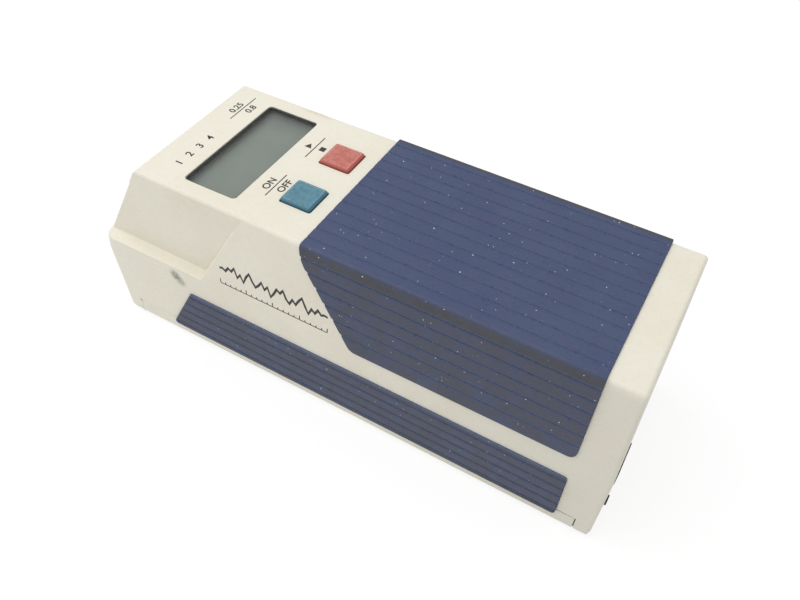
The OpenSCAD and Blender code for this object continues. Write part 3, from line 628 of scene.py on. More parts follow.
def bevel_edges(bm: BMesh, edges: Iterable[BMEdge], width: float, segments: int = 3) -> None:
    """Round edges by a width on each face, in a number of steps."""
    bmesh.ops.bevel(
        bm, geom=list(edges), offset=width * MM, segments=segments, profile=0.5, affect="EDGES", material=-1
    )


def ease_edges(bm: BMesh, width: float, angle: float = 25.0, segments: int = 3) -> BMesh:
    """Round the edges that are sharper than an angle in degrees, and return the mesh."""
    limit = math.radians(angle)
    sharp = [e for e in bm.edges if e.is_manifold and e.calc_face_angle(0.0) > limit]
    bevel_edges(bm, sharp, width, segments)
    return bm


def upright_edges(bm: BMesh) -> list[BMEdge]:
    """Return the edges of a block that run up."""
    return [e for e in bm.edges if abs(e.verts[0].co.z - e.verts[1].co.z) > SNAP]


def slice_faces(bm: BMesh, faces: Iterable[BMFace], point: Point, normal: Point) -> None:
    """Cut faces along the plane through a point."""
    around = dict.fromkeys(part for f in faces for part in (f, *f.edges, *f.verts))
    bmesh.ops.bisect_plane(
        bm, geom=list(around), dist=SNAP, plane_co=Vector(point) * MM, plane_no=Vector(normal).normalized()
    )


def add_block(bm: BMesh, low: Point, high: Point) -> list[BMVert]:
    """Add a block between its lowest and highest corners, and return its vertices."""
    size = [(b - a) * MM for a, b in zip(low, high)]
    middle = [(a + b) / 2 * MM for a, b in zip(low, high)]
    shape = Matrix.Translation(middle) @ Matrix.Diagonal((*size, 1.0))
    return bmesh.ops.create_cube(bm, size=1.0, matrix=shape)["verts"]


def add_prism(bm: BMesh, start: Point, end: Point, radius: float, sides: int = 32) -> None:
    """Add a rod, or a prism with few sides, between two points."""
    a, b = Vector(start) * MM, Vector(end) * MM
    turn = Vector(UP).rotation_difference(b - a).to_matrix().to_4x4()
    bmesh.ops.create_cone(
        bm, cap_ends=True, segments=sides, radius1=radius * MM, radius2=radius * MM,
        depth=(b - a).length, matrix=Matrix.Translation((a + b) / 2) @ turn,
    )


def turn_profile(
    bm: BMesh, profile: Sequence[Point], centre: Point, axis: Point, steps: int,
    turns: int = 1, pitch: float = 0.0,
) -> None:
    """Turn a profile round an axis in steps, or wind it into a thread with a pitch and more turns."""
    verts = [bm.verts.new(Vector(p) * MM) for p in profile]
    edges = [bm.edges.new(pair) for pair in zip(verts, verts[1:])]
    bmesh.ops.spin(
        bm, geom=verts + edges, cent=Vector(centre) * MM, axis=axis, dvec=Vector(axis) * (pitch / steps * MM),
        angle=FULL_TURN * turns, steps=steps * turns, use_merge=not pitch,
    )
    bmesh.ops.remove_doubles(bm, verts=bm.verts, dist=5.0 * SNAP)


def on_line(line: Line, z: float) -> float:
    """Return where a broken line of heights and places runs at a height; its end runs go on beyond it."""
    run = next((i for i in range(1, len(line) - 1) if z < line[i][0]), len(line) - 1)
    (low, start), (high, end) = line[run - 1], line[run]
    return start + (end - start) * (z - low) / (high - low)


def round_by_width(bm: BMesh, width_of: Callable[[BMEdge], float], segments: int = 3) -> BMesh:
    """Round edges in one go, each by the width that is given for it; the mesh is freed for a new one."""
    layer = bm.edges.layers.float.new("bevel_weight_edge")
    for edge in bm.edges:
        edge[layer] = width_of(edge)
    mesh = to_mesh("rounding", bm)
    holder = link("rounding", mesh)
    bevel = holder.modifiers.new("rounding", "BEVEL")
    bevel.limit_method = "WEIGHT"
    bevel.width = MM
    bevel.segments = segments
    bevel.use_clamp_overlap = False
    rounded = baked(holder)
    result = bmesh.new()
    result.from_mesh(rounded)
    for spent in (mesh, rounded):
        bpy.data.meshes.remove(spent)
    return result


def store(bm: BMesh, name: str, value_of: Callable[[BMVert], float]) -> BMesh:
    """Store a number on each vertex for the material to read, and return the mesh."""
    layer = bm.verts.layers.float.new(name)
    for v in bm.verts:
        v[layer] = min(max(value_of(v), 0.0), 1.0)
    return bm


class CaseShells:
    """The upper case and the bottom cover: mouldings with eased edges, softest at the nose's ledges."""

    case_h = 60.0
    crease_z = 31.3
    top_half = 24.7
    crease_half = 28.7
    wall_half = 24.4
    ledge_end = -44.2
    slant_end = -26.5
    recess_end = -24.0
    nose_top = -60.0
    nose_x = -81.0
    hole_x = -26.0
    end_x = 81.3
    corner_x = 79.5
    low_z = 5.0
    base_z = 0.9
    round_r = 1.2
    reach = 0.35
    slack = 0.1
    near_zero = 0.02
    sharp = math.radians(40.0)
    facing = 0.3
    level = 0.995
    cuts = (40.0, 47.0, 52.0, 54.5)
    side_line = ((2.0, 29.47), (31.3, 28.7), (60.0, 24.7))
    nose_line = ((2.03, -80.4), (26.0, -82.3), (31.3, -81.5))
    rear_line = ((3.28, 81.52), (26.0, 81.7), (58.84, 80.73))
    nose_radius = 3.4
    rear_radius = 1.1
    corner_steps = 6
    strip_margins = (4.0, 2.0)
    skin = 2.0
    edge_width = 0.2
    hole_width = 0.12
    ledge_width = 0.6
    foot_width = 0.5
    slope_width = 0.45
    slope_taper = 0.06
    taper_z = 59.0
    slant_top = 58.0
    slope_top = 57.0
    case_seam = (6.5, -73.6, 77.0)
    cover_seam = (6.2, -73.3, 76.7)
    # Where the painted shade of the parting line runs from none to black.
    seam_shade_run = (-60.0, 20.0)
    lip_gap = 0.02
    lip_back = (0.04, 0.5)
    lip_depth = 1.8
    lip_t = 0.26

    def half_at(self, z: float) -> float:
        """Return half the width of the case at a height."""
        return on_line(self.side_line, z)

    def is_outside(self, vert: BMVert) -> bool:
        """Tell whether a vertex lies on the outer surface."""
        x, y, z = vert.co / MM
        above_ledge = abs(y) > self.top_half - self.slack and z > self.crease_z - self.slack
        in_recess = x < self.recess_end and above_ledge
        on_wall = abs(y) > self.half_at(z) - self.reach and z > self.low_z
        return in_recess or on_wall or z > self.case_h - self.round_r or abs(x) > self.end_x

    def at_half(self, points: Sequence[Vector], half: float) -> bool:
        """Tell whether all the points lie at one distance from the middle plane."""
        return all(abs(abs(p.y) - half) < self.near_zero for p in points)

    def depths(self, vert: BMVert, end: Line) -> Span:
        """Measure how deep a vertex lies behind an end face, given by its line, and behind the side."""
        x, y, z = vert.co / MM
        tip = on_line(end, z)
        return abs(tip) - math.copysign(x, x * tip), self.half_at(z) - abs(y)

    def in_corner(self, vert: BMVert, end: Line, radius: float) -> bool:
        """Tell whether a vertex lies at one of an end's upright corners."""
        below = vert.co.z / MM < end[-1][0] + self.round_r + self.near_zero
        return below and max(self.depths(vert, end)) < radius

    def corner_faces(self, bm: BMesh, end: Line, radius: float) -> list[BMFace]:
        """Return the faces that touch an end's upright corners."""
        near = [v for v in bm.verts if self.in_corner(v, end, radius)]
        return list(dict.fromkeys(f for v in near for f in v.link_faces))

    def slice_corners(self, bm: BMesh, end: Line, radius: float, run: Span) -> None:
        """Cut the faces round an end's corners into upright strips, between two heights, for a radius."""
        low, high = run
        rise = high - low
        below, above = self.strip_margins
        start, lean = on_line(end, low), on_line(end, high) - on_line(end, low)
        slope = self.half_at(high) - self.half_at(low)
        turns = [math.radians(45.0) * i / self.corner_steps for i in range(self.corner_steps)]
        for depth in (radius + self.reach, *(radius * (1.0 - math.tan(turn)) for turn in turns)):
            half = self.half_at(low) - depth
            for point, normal in (
                ((start - math.copysign(depth, start), 0.0, low), (rise, 0.0, -lean)),
                ((0.0, half, low), (0.0, rise, -slope)),
                ((0.0, -half, low), (0.0, rise, slope)),
            ):
                faces = self.corner_faces(bm, end, radius + self.reach)
                walls = [
                    f for f in faces if abs(f.normal.z) < self.level
                    and all(low - below < v.co.z / MM < high + above for v in f.verts)
                ]
                slice_faces(bm, walls, point, normal)

    def round_corners(self, bm: BMesh) -> BMesh:
        """Round the upright corners at both ends, and return the mesh."""
        for end, radius in ((self.nose_line, self.nose_radius), (self.rear_line, self.rear_radius)):
            heights = sorted({z for z, _ in end} | {self.crease_z})
            for z in heights[1:-1]:
                slice_faces(bm, self.corner_faces(bm, end, radius), (0.0, 0.0, z), UP)
            for run in zip(heights, heights[1:]):
                self.slice_corners(bm, end, radius, run)
            for v in bm.verts:
                if not self.in_corner(v, end, radius) or min(self.depths(v, end)) > self.skin:
                    continue
                u, w = (radius - depth for depth in self.depths(v, end))
                shift = 1.0 - max(u, w) / math.hypot(u, w)
                v.co -= Vector((math.copysign(u, v.co.x), math.copysign(w, v.co.y), 0.0)) * shift * MM
        return bm

    def softness(self, edge: BMEdge) -> float:
        """Choose how far an edge of the upper case is rounded, 0 where it is flat or inside the case."""
        sharp = edge.is_manifold and edge.calc_face_angle(0.0) > self.sharp
        if not sharp or not all(self.is_outside(v) for v in edge.verts):
            return 0.0
        points = [v.co / MM for v in edge.verts]
        first, last = sorted(p.x for p in points)
        low, high = sorted(p.z for p in points)
        upright = all(max(abs(f.normal[i]) for f in edge.link_faces) > self.facing for i in (0, 1))
        on_ledge = high < self.crease_z + self.near_zero
        if first > self.corner_x and max(abs(p.y) for p in points) < self.top_half - self.round_r:
            return self.hole_width if edge.calc_length() > MM else 0.0
        if upright and min(abs(first), abs(last)) > self.corner_x:
            return 0.0
        if low < self.crease_z - self.near_zero or last > self.slant_end:
            in_top = low > self.case_h - self.slack and first > self.hole_x
            return self.hole_width if in_top else self.edge_width
        if on_ledge and (self.at_half(points, self.crease_half) or last < self.nose_x):
            return self.ledge_width
        if on_ledge and self.at_half(points, self.top_half):
            return self.foot_width
        if first > self.ledge_end:
            tapered = min(self.slope_width, self.slope_taper * (self.taper_z - high))
            return 0.0 if high > self.slant_top else tapered
        if self.at_half(points, self.top_half) and last < self.nose_top:
            return self.slope_width if high < self.slope_top else 0.0
        return self.edge_width

    def seam_shade_at(self, x: float) -> float:
        """Return how much shade is painted in the parting line at a place: none at the nose, black at the
        rear.
        """
        first, last = self.seam_shade_run
        return min(max((x - first) / (last - first), 0.0), 1.0)

    def mark_seam(self, bm: BMesh, seam: Point) -> BMesh:
        """Store how much shade is painted on the points in the parting line: at a height, and in upright runs
        at two places.
        """
        level, front, rear = seam

        # The function below gives the painted shade of one point of the parting line.
        def grime(v: BMVert) -> float:
            x, y, z = v.co / MM
            upright = min(abs(x - front), abs(x - rear)) < self.near_zero and z < level + self.near_zero
            within = abs(y) < self.half_at(z) - self.edge_width / 2 and z > self.base_z
            return self.seam_shade_at(x) * float(within and (upright or abs(z - level) < self.near_zero))

        return store(bm, "seam", grime)

    def lips(self) -> BMesh:
        """Return the lips that close the parting line behind its narrow gap, deeper set at the rear, with the
        same painted shade.
        """
        bm = bmesh.new()
        seams = zip(self.case_seam, self.cover_seam)
        gap, front, rear = (min(abs(a), abs(b)) + self.lip_gap for a, b in seams)
        top = self.case_seam[0] - self.lip_gap
        half = self.half_at(gap)
        for side in (-1.0, 1.0):
            low, high = sorted((side * half, side * (half - self.lip_depth)))
            for v in add_block(bm, (-front, low, gap), (rear, high, top)):
                if abs(v.co.y) / MM > half - self.near_zero:
                    v.co.y -= side * self.lip_back[int(v.co.x > 0.0)] * MM
        for x, back in zip((-front - self.lip_t, rear), self.lip_back):
            add_block(bm, (x, back - half, self.base_z + back), (x + self.lip_t, half - back, top))
        # The lips carry the painted shade of the parting line too.
        return store(bm, "seam", lambda v: self.seam_shade_at(v.co.x / MM))

    def upper(self) -> BMesh:
        """Return the upper case with its outer edges eased."""
        bm = merged_copy("upper_case")
        for z in self.cuts:
            walls = [
                f for f in bm.faces
                if all(self.is_outside(v) and abs(v.co.y) / MM > self.wall_half for v in f.verts)
            ]
            slice_faces(bm, walls, (0.0, 0.0, z), UP)
        return self.mark_seam(self.round_corners(round_by_width(bm, self.softness)), self.case_seam)

    def build(self, finish: Material) -> None:
        """Make both shells and the lips between them."""
        cover = self.mark_seam(ease_edges(merged_copy("bottom_cover"), self.edge_width), self.cover_seam)
        place(self.upper(), finish, "case_moulding", "case_plastic", "upper_case")
        place(cover, finish, "base_moulding", "case_plastic", "bottom_cover")
        place(self.lips(), finish, "parting_lips", "case_plastic")


class Grips:
    """The ribbed grip over the rear half, and the ribbed strip on each side."""

    proud = 0.7
    groove_depth = 0.3
    case_h = 60.0
    fold_r = 1.2
    base = (29.5, 0.8)
    crease = (28.7, 31.3)
    top = (24.7, 60.0)
    rib_width = 0.22
    rib_steps = 4
    near_zero = 0.05
    sharp = math.radians(25.0)

    def depth_below(self, point: Vector, wall: Line) -> float:
        """Measure how far a point lies below the grip's outer faces and the rounded fold between them.

        The wall gives two points, as Y and Z, of the case wall under the grip.
        """
        (y0, z0), (y1, z1) = wall
        along = Vector((y1 - y0, z1 - z0)).normalized()
        y, z = abs(point.y) / MM - self.proud, point.z / MM
        side = self.fold_r - ((y0 - y) * along.y - (z0 - z) * along.x)
        top = self.fold_r - (self.case_h + self.proud - z)
        lean = -along.x
        if side > top * lean and top > side * lean:
            reach = math.sqrt((side * side + top * top - 2.0 * side * top * lean) / (1.0 - lean * lean))
            return self.fold_r - reach
        return self.fold_r - max(side, top)

    def softness(self, edge: BMEdge, wall: Line) -> float:
        """Choose how far an edge is rounded: the ribs and the outline are, the grooves' floors aren't."""
        if not edge.is_manifold or edge.calc_face_angle(0.0) < self.sharp:
            return 0.0
        on_top = max(self.depth_below(v.co, wall) for v in edge.verts) < self.near_zero
        return self.rib_width if on_top else 0.0

    def ribbed(self, node: str, wall: Line) -> BMesh:
        """Copy a grip with softly rounded ribs, and store its groove depth from 0 to 1."""
        bm = round_by_width(merged_copy(node), lambda edge: self.softness(edge, wall), self.rib_steps)
        return store(bm, "groove", lambda v: self.depth_below(v.co, wall) / self.groove_depth)

    def build(self, finish: Material) -> None:
        """Make the three grips."""
        upper, lower = (self.crease, self.top), (self.base, self.crease)
        for node, wall in (("grip_cover", upper), ("grip_strip_near", lower), ("grip_strip_far", lower)):
            name = node.replace("grip_", "ribbed_")
            place(self.ribbed(node, wall), finish, name, "grip_plastic", node)


class Keys:
    """The two square keys, each with a lip under the case wall and a stem down to its switch."""

    rise = 3.7
    lip = 1.2
    lip_t = 1.2
    stem_r = 2.3
    stem_share = 0.5
    corner_r = 0.7
    rim_r = 0.55
    rim_slack = 0.05
    round_steps = 4
    dish = 0.14
    rings = ((0.88, 0.3), (0.66, 0.8), (0.4, 1.0))
    level = 0.99

    @staticmethod
    def grow(bm: BMesh, face: BMFace, middle: Vector, scale: Span, z: float) -> BMFace:
        """Extrude a level face about a middle, to a new size along and across the case and a new height."""
        new = bmesh.ops.extrude_discrete_faces(bm, faces=[face])["faces"][0]
        for v in new.verts:
            away = v.co - middle
            v.co = (middle.x + away.x * scale[0], middle.y + away.y * scale[1], z * MM)
        return new

    def cap(self, node: str) -> BMesh:
        """Build one key upwards to its dished crown and downwards to its stem, with 1 stored on its rim."""
        low, high = (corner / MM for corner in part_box(node))
        middle = (low + high) / 2 * MM
        lip_z = high.z - self.rise
        foot_z = lip_z - self.lip_t
        half_x, half_y = (high.x - low.x) / 2 - self.lip, (high.y - low.y) / 2 - self.lip
        bm = bmesh.new()
        inner = (low.x + self.lip, low.y + self.lip, lip_z)
        add_block(bm, inner, (high.x - self.lip, high.y - self.lip, high.z))
        bevel_edges(bm, upright_edges(bm), self.corner_r, self.round_steps)
        top = max(bm.faces, key=lambda f: f.calc_center_median().z)
        bevel_edges(bm, top.edges, self.rim_r, self.round_steps)
        crown = max(bm.faces, key=lambda f: (f.normal.z > self.level, f.calc_area()))
        for scale, drop in self.rings:
            crown = self.grow(bm, crown, middle, (scale, scale), high.z - self.dish * drop)
        foot = min(bm.faces, key=lambda f: f.calc_center_median().z)
        wide = ((half_x + self.lip) / half_x, (half_y + self.lip) / half_y)
        foot = self.grow(bm, foot, middle, wide, lip_z)
        foot = self.grow(bm, foot, middle, (1.0, 1.0), foot_z)
        stem = self.grow(bm, foot, middle, (self.stem_share, self.stem_share), foot_z)
        for v in stem.verts:
            away = Vector((v.co.x - middle.x, v.co.y - middle.y, 0.0)).normalized() * self.stem_r * MM
            v.co = (middle.x + away.x, middle.y + away.y, v.co.z)
        self.grow(bm, stem, middle, (1.0, 1.0), low.z)
        bmesh.ops.recalc_face_normals(bm, faces=bm.faces)

        def on_rim(v: BMVert) -> float:
            inside = min(half_x - abs(v.co.x - middle.x) / MM, half_y - abs(v.co.y - middle.y) / MM)
            return float(inside < self.rim_r + self.rim_slack)

        return store(bm, "rim", on_rim)

    def build(self, blue: KeyPlastic, red: KeyPlastic) -> None:
        """Make the near blue key and the far red one."""
        for node, body, look in (("blue_key", Body.BLUE_KEY, blue), ("red_key", Body.RED_KEY, red)):
            place(self.cap(node), look.make(), node + "_cap", node, node, body=body)


class Marks:
    """Plain printed marks: numbers and signs on the top face, and a measured trace on the near wall."""

    top_z = 60.0
    ink_t = 0.02
    bold = 0.06
    capital = 0.69
    rule_w = 0.32
    rules = ((-56.6, 8.2, 20.5), (-27.6, 4.8, 14.8), (-27.4, -14.1, -4.3))
    letter_h = 2.1
    words = (
        ("0.25", -58.6, 13.6), ("0.8", -54.5, 15.2), ("ON", -29.4, -9.6), ("OFF", -25.2, -8.4),
    )
    digit_h = 2.3
    digits = "1234"
    digit_at = (-55.9, -15.2)
    digit_pitch = 4.4
    play_at = (-29.5, 9.4)
    play_r = 1.3
    stop_box = ((-26.2, 9.2), (-24.4, 11.0))
    wall_foot = (-36.0, -28.28, 34.3)
    wall_up = (0.0, 4.0, 28.7)
    trace_w = 0.75
    trace_l = 36.0
    trace_z = 5.6
    mitre = 0.6
    ticks = 20
    tick_group = 5
    tick_h = (0.9, 1.6)
    heights = (
        0.0, 0.3, -0.4, 1.1, 0.4, 1.9, -0.9, 0.6, -1.6, 0.9, 2.4, 0.3, -1.2, -0.2, 1.4, -0.6, 0.8, -2.1,
        -0.5, 1.6, 0.7, 2.1, -0.3, -1.4, 0.5, -0.7, 1.2, 2.6, 0.2, -1.8, 0.4, -0.6, 1.0, -0.2, 0.3, 0.0,
    )

    def lay_text(self, bm: BMesh, words: str, x: float, y: float, height: float) -> None:
        """Print words about a point, with their tops towards the nose and capitals of this height."""
        curve = bpy.data.curves.new("mark_text", "FONT")
        curve.body = words
        curve.size = height / self.capital * MM
        curve.align_x = "CENTER"
        curve.offset = self.bold * MM
        curve.extrude = self.ink_t / 2 * MM
        mesh = baked(link("mark_text", curve))
        spot = Matrix.Translation(Vector((x + height / 2, y, self.top_z + self.ink_t / 2)) * MM)
        mesh.transform(spot @ Matrix.Rotation(math.pi / 2, 4, "Z"))
        bm.from_mesh(mesh)
        bpy.data.curves.remove(curve)
        bpy.data.meshes.remove(mesh)

    def top_marks(self) -> BMesh:
        """Return the marks beside the display and the keys."""
        bm = bmesh.new()
        low, high = self.top_z, self.top_z + self.ink_t
        for x, start, end in self.rules:
            add_block(bm, (x - self.rule_w / 2, start, low), (x + self.rule_w / 2, end, high))
        for text, x, y in self.words:
            self.lay_text(bm, text, x, y, self.letter_h)
        x, y = self.digit_at
        for i, digit in enumerate(self.digits):
            self.lay_text(bm, digit, x, y + self.digit_pitch * i, self.digit_h)
        add_prism(bm, (*self.play_at, low), (*self.play_at, high), self.play_r, 3)
        first, last = self.stop_box
        add_block(bm, (*first, low), (*last, high))
        return bm

    def on_wall(self) -> Matrix:
        """Return the place on the near wall: its X runs along the case and its Y up the wall."""
        up = Vector(self.wall_up).normalized()
        turn = Matrix((ALONG, up, Vector(ALONG).cross(up))).transposed().to_4x4()
        return Matrix.Translation(Vector(self.wall_foot) * MM) @ turn

    def ribbon(self) -> BMesh:
        """Return the profile as one ribbon of even width, mitred at its peaks."""
        bm = bmesh.new()
        last = len(self.heights) - 1
        grid = bmesh.ops.create_grid(bm, x_segments=last, y_segments=1, size=0.5)["verts"]
        pitch = self.trace_l / last
        line = [Vector((i * pitch, self.trace_z + h)) for i, h in enumerate(self.heights)]
        runs = [b - a for a, b in zip(line, line[1:])]
        for v in grid:
            i = round((v.co.x + 0.5) * last)
            beside = (runs[max(i - 1, 0)], runs[min(i, last - 1)])
            before, after = (Vector((-run.y, run.x)).normalized() for run in beside)
            middle = (before + after).normalized()
            reach = self.trace_w / 2 / max(middle.dot(before), self.mitre)
            spot = line[i] + middle * (reach if v.co.y > 0.0 else -reach)
            v.co = (spot.x * MM, spot.y * MM, 0.0)
        top = bmesh.ops.extrude_face_region(bm, geom=bm.faces[:])["geom"]
        lift = (0.0, 0.0, self.ink_t / 2 * MM)
        bmesh.ops.translate(bm, vec=lift, verts=[v for v in top if isinstance(v, BMVert)])
        bmesh.ops.recalc_face_normals(bm, faces=bm.faces)
        return bm

    def trace(self) -> BMesh:
        """Return a measured profile over its base line with tick marks, on the near wall."""
        bm = self.ribbon()
        half, high = self.rule_w / 2, self.ink_t / 2
        add_block(bm, (0.0, 0.0, 0.0), (self.trace_l, self.rule_w, high))
        for i in range(self.ticks + 1):
            x = self.trace_l * i / self.ticks
            tall = self.tick_h[int(i % self.tick_group == 0)]
            add_block(bm, (x - half, self.rule_w, 0.0), (x + half, tall, high))
        bmesh.ops.transform(bm, matrix=self.on_wall(), verts=bm.verts)
        return bm

    def build(self, finish: Material) -> None:
        """Make the marks."""
        place(self.top_marks(), finish, "printed_marks", "black_plastic")
        place(self.trace(), finish, "printed_trace", "black_plastic")


class WindowShadeLiner:
    """A dark liner in the window's opening: painted shade on its walls."""

    low = (-50.49, -19.69, 59.01)
    high = (-33.21, 19.69, 59.75)
    wall = 0.25
    corner_r = 1.2
    corner_steps = 5
    level = 0.9

    def build(self, finish: Material) -> None:
        """Make the dark frame that lines the opening above the window, as painted shade."""
        bm = bmesh.new()
        add_block(bm, self.low, self.high)
        bevel_edges(bm, upright_edges(bm), self.corner_r, self.corner_steps)
        caps = [f for f in bm.faces if abs(f.normal.z) > self.level]
        bmesh.ops.inset_individual(bm, faces=caps, thickness=self.wall * MM, use_even_offset=True)
        loops = [e for f in caps for e in f.edges]
        bmesh.ops.delete(bm, geom=caps, context="FACES_ONLY")
        bmesh.ops.bridge_loops(bm, edges=loops)
        bmesh.ops.recalc_face_normals(bm, faces=bm.faces)
        place(bm, finish, "window_shade_liner", "black_plastic")


class RearSockets:
    """The data socket and the power jack in the rear wall, with their contacts."""

    data_y = -11.9
    data_z = 13.5
    half_h = 2.2
    blades = 6
    blade_pitch = 1.5
    blade_w = 0.7
    blade_t = 0.1
    blade_x = (74.8, 81.2)
    jack_y = -22.0
    jack_z = 10.0
    sleeve_r = 1.0
    sleeve_t = 0.05
    sleeve_x = (74.9, 81.9)
    sleeve_steps = 40
    edge_width = 0.1

    def contacts(self) -> BMesh:
        """Return the contact blades along the data socket's upper and lower walls."""
        bm = bmesh.new()
        x0, x1 = self.blade_x
        for sign in (-1.0, 1.0):
            outer = self.data_z + sign * self.half_h
            z0, z1 = sorted((outer, outer - sign * self.blade_t))
            for i in range(self.blades):
                y = self.data_y + (i - (self.blades - 1) / 2) * self.blade_pitch
                add_block(bm, (x0, y - self.blade_w / 2, z0), (x1, y + self.blade_w / 2, z1))
        return ease_edges(bm, self.blade_t / 3, segments=2)

    def sleeve(self) -> BMesh:
        """Return the thin metal sleeve inside the jack's hole."""
        bm = bmesh.new()
        inner, outer = self.sleeve_r - self.sleeve_t, self.sleeve_r
        (x0, x1), y, z = self.sleeve_x, self.jack_y, self.jack_z
        ring = ((x0, outer), (x1, outer), (x1, inner), (x0, inner), (x0, outer))
        turn_profile(bm, [(x, y, z + r) for x, r in ring], (x0, y, z), ALONG, self.sleeve_steps)
        bmesh.ops.recalc_face_normals(bm, faces=bm.faces)
        return bm

    def build(self, shared: dict[str, Material]) -> None:
        """Make both sockets, the contacts and the sleeve."""
        for node in ("data_socket", "power_jack"):
            body = ease_edges(merged_copy(node), self.edge_width)
            place(body, shared["black_moulding"], node + "_body", "black_plastic", node)
        place(self.contacts(), shared["turned_brass"], "data_contacts", "brass")
        place(self.sleeve(), shared["plated_steel"], "jack_sleeve", "screw_steel")


class Base:
    """The four rubber feet and the screws that hold the cover."""

    foot_x = (-64.3, 67.7)
    foot_y = 21.89
    foot_steps = 48
    profile = (
        (0.0, 0.25), (2.3, 0.25), (2.55, 0.0), (3.4, 0.0), (3.72, 0.09), (3.93, 0.32), (4.0, 0.65),
        (4.0, 1.6), (0.0, 1.6),
    )
    screw_width = 0.12
    screw_angle = 40.0

    def feet(self) -> BMesh:
        """Return the four feet, each turned from one profile with a hollow in its sole."""
        bm = bmesh.new()
        for x in self.foot_x:
            for y in (-self.foot_y, self.foot_y):
                outline = [(x + r, y, z) for r, z in self.profile]
                turn_profile(bm, outline, (x, y, 0.0), UP, self.foot_steps)
        bmesh.ops.recalc_face_normals(bm, faces=bm.faces)
        return bm

    def build(self, shared: dict[str, Material]) -> None:
        """Make the feet and the screws."""
        screws = ease_edges(merged_copy("case_screws"), self.screw_width, self.screw_angle, 2)
        place(self.feet(), shared["foot_rubber"], "turned_feet", "foot_rubber", "rubber_feet")
        place(screws, shared["plated_steel"], "cover_screws", "screw_steel", "case_screws")


class Drive:
    """The threaded lead screw, and the stylus pickup that shows through the slot in the base."""

    axis_z = 20.0
    thread_x = (-50.0, -0.6)
    journal_x = (-54.3, 9.5)
    journal_r = 1.6
    journal_root = 1.0
    pitch = 1.0
    steps = 20
    profile = ((0.0, 2.1), (0.15, 2.1), (0.38, 2.5), (0.62, 2.5), (0.85, 2.1), (1.0, 2.1))
    pickup_width = 0.15
    pickup_angle = 40.0

    def screw(self) -> BMesh:
        """Return the lead screw: a right-hand thread between two plain journals."""
        bm = bmesh.new()
        x0, x1 = self.thread_x
        outline = [(x0 - self.pitch * (1.0 - x), 0.0, self.axis_z + r) for x, r in self.profile]
        turns = math.ceil((x1 - x0) / self.pitch) + 1
        turn_profile(bm, outline, (0.0, 0.0, self.axis_z), ALONG, self.steps, turns, self.pitch)
        for x, sign in ((x0, -1.0), (x1, 1.0)):
            cut = bmesh.ops.bisect_plane(
                bm, geom=[*bm.verts, *bm.edges, *bm.faces], dist=SNAP / 10.0, plane_co=(x * MM, 0.0, 0.0),
                plane_no=(sign, 0.0, 0.0), clear_outer=True,
            )["geom_cut"]
            bmesh.ops.edgeloop_fill(bm, edges=[e for e in cut if isinstance(e, BMEdge)])
        bmesh.ops.recalc_face_normals(bm, faces=bm.faces)
        front, rear = self.journal_x
        for start, end in ((front, x0 + self.journal_root), (x1 - self.journal_root, rear)):
            add_prism(bm, (start, 0.0, self.axis_z), (end, 0.0, self.axis_z), self.journal_r)
        return bm

    def build(self, steel: Material) -> None:
        """Make the lead screw and the pickup's eased parts."""
        place(self.screw(), steel, "threaded_screw", "ground_steel", "lead_screw", body=Body.SCREW)
        for node in ("pickup_body", "pickup_skid"):
            eased = ease_edges(merged_copy(node), self.pickup_width, self.pickup_angle)
            place(eased, steel, node + "_eased", "ground_steel", node, body=Body.CARRIAGE)


class PlainSolids:
    """The parts that keep their plain solids: display, boards, switches, battery and drive."""

    nodes = (
        ("bezel_and_shade_grey", "lcd_holder"),
        ("green_board", "main_board rear_board"),
        ("black_moulding", "blue_plunger red_plunger blue_switch red_switch"),
        ("cell_sleeve", "battery_pack"),
        ("plated_steel", "board_screws tray_screws frame_screws"),
        ("ground_steel", "guide_rods drive_motor gearhead motor_shaft pivot_pin"),
        ("turned_brass", "front_bush rear_bush screw_gear motor_pinion"),
        ("cast_alloy", "battery_tray drive_frame carriage stylus_arm"),
        ("polished_tip", "stylus_tip"),
    )

    def build(self, shared: dict[str, Material], glass: Material, pane: Material) -> None:
        """Finish the display, its window and the parts in the shared finishes."""
        paint("lcd_panel", glass)
        paint("display_window", pane)
        for finish, nodes in self.nodes:
            for node in nodes.split():
                paint(node, shared[finish])


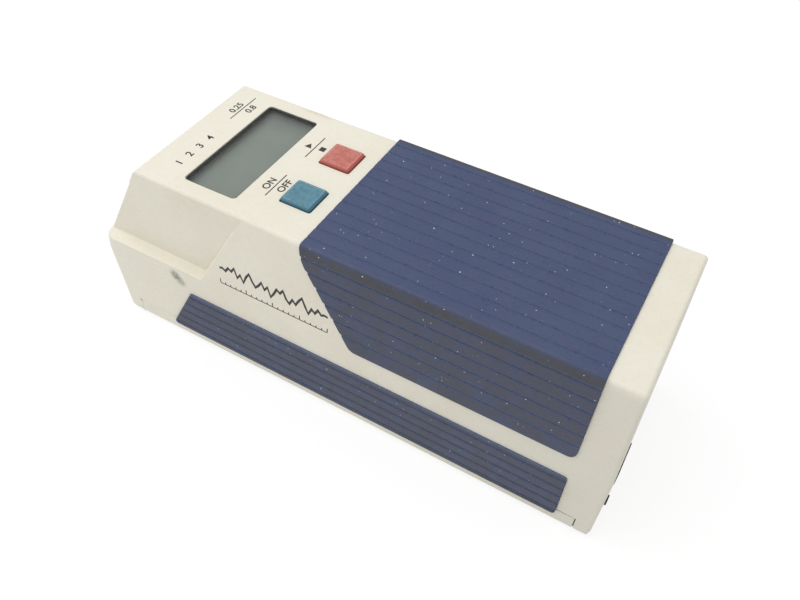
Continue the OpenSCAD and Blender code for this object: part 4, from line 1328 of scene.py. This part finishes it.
class Studio:
    """White floor, soft light and the camera of the portrait."""

    eye = (77.66, -130.42, 192.61)
    right = (0.8670376, 0.4978744, 0.0191533)
    down = (0.3846769, -0.6444853, -0.6608043)
    ahead = (-0.3166535, 0.5803100, -0.7503138)
    lens = 34.02
    sensor = 36.0
    nearest = 10.0
    floor_size = 3000.0
    floor_grain = Patches(Noise(0.01, 2.0), 0.3, 0.7)
    papers = ((0.86, 0.86, 0.86), (0.84, 0.84, 0.84))
    floor_seen = (0.20, 0.20, 0.20)
    floor_glow = 0.82
    floor_rough = 0.9
    floor_gloss = 0.1
    sky = 0.72
    lamp_at = (-380.0, -150.0, 880.0)
    lamp_size = 900.0
    lamp_power = 4.2

    def camera(self) -> None:
        """Set the camera at the portrait's viewpoint."""
        data = bpy.data.cameras.new("portrait")
        data.lens = self.lens
        data.sensor_width = self.sensor
        data.clip_start = self.nearest * MM
        cam = link("portrait", data)
        columns = (Vector(self.right), -Vector(self.down), -Vector(self.ahead), Vector(self.eye) * MM)
        cam.matrix_world = Matrix([[c[i] for c in columns] for i in range(3)] + [[0.0, 0.0, 0.0, 1.0]])
        bpy.context.scene.camera = cam

    def floor(self) -> None:
        """Lay a white floor that keeps a soft shadow."""
        bm = bmesh.new()
        bmesh.ops.create_grid(bm, x_segments=1, y_segments=1, size=self.floor_size / 2 * MM)
        g = Graph("white_floor")
        rays = g.node("LightPath").outputs
        seen = g.math("MAXIMUM", rays["Is Camera Ray"], rays["Is Glossy Ray"])
        seen = g.math("MAXIMUM", seen, rays["Is Transmission Ray"])
        paper = g.mix(g.patches(self.floor_grain), *self.papers)
        g.set("Base Color", g.mix(seen, paper, self.floor_seen))
        g.set("Roughness", self.floor_rough)
        g.set("Specular IOR Level", self.floor_gloss)
        g.set("Emission Color", WHITE)
        g.set("Emission Strength", g.times(seen, self.floor_glow))
        mesh = to_mesh("floor", bm)
        mesh.materials.append(g.material)
        link("floor", mesh)

    def light(self) -> None:
        """Light the part evenly from the sky, with a broad soft lamp overhead."""
        world = bpy.data.worlds.new("white_room")
        world.use_nodes = True
        nodes, links = world.node_tree.nodes, world.node_tree.links
        back = nodes["Background"]
        back.inputs["Color"].default_value = (*WHITE, 1.0)
        rays = nodes.new("ShaderNodeLightPath").outputs
        seen = nodes.new("ShaderNodeMath")
        seen.operation = "MAXIMUM"
        links.new(rays["Is Camera Ray"], seen.inputs[0])
        links.new(rays["Is Transmission Ray"], seen.inputs[1])
        level = nodes.new("ShaderNodeMapRange")
        level.inputs["To Min"].default_value = self.sky
        level.inputs["To Max"].default_value = 1.0
        links.new(seen.outputs["Value"], level.inputs["Value"])
        links.new(level.outputs["Result"], back.inputs["Strength"])
        bpy.context.scene.world = world
        lamp = bpy.data.lights.new("soft_lamp", "AREA")
        lamp.shape = "DISK"
        lamp.size = self.lamp_size * MM
        lamp.energy = self.lamp_power
        at = Vector(self.lamp_at) * MM
        aim = (-at).to_track_quat("-Z", "Y").to_matrix().to_4x4()
        link("soft_lamp", lamp).matrix_world = Matrix.Translation(at) @ aim

    def build(self) -> None:
        """Set up floor, light, camera and view."""
        self.camera()
        self.floor()
        self.light()
        bpy.context.scene.view_settings.view_transform = "Standard"


def main() -> None:
    """Build every sub-assembly in order."""
    logging.basicConfig(level=logging.INFO, format="%(name)s: %(message)s")
    shared = {look.name: look.make() for look in SHARED}
    Studio().build()
    CaseShells().build(CasePlastic().make())
    Grips().build(GripPlastic().make())
    Keys().build(BLUE, RED)
    WindowShadeLiner().build(shared["bezel_and_shade_grey"])
    Marks().build(Ink().make())
    RearSockets().build(shared)
    Base().build(shared)
    Drive().build(shared["ground_steel"])
    PlainSolids().build(shared, DisplayGlass().make(), ClearPane().make())


if __name__ == "__main__":
    main()
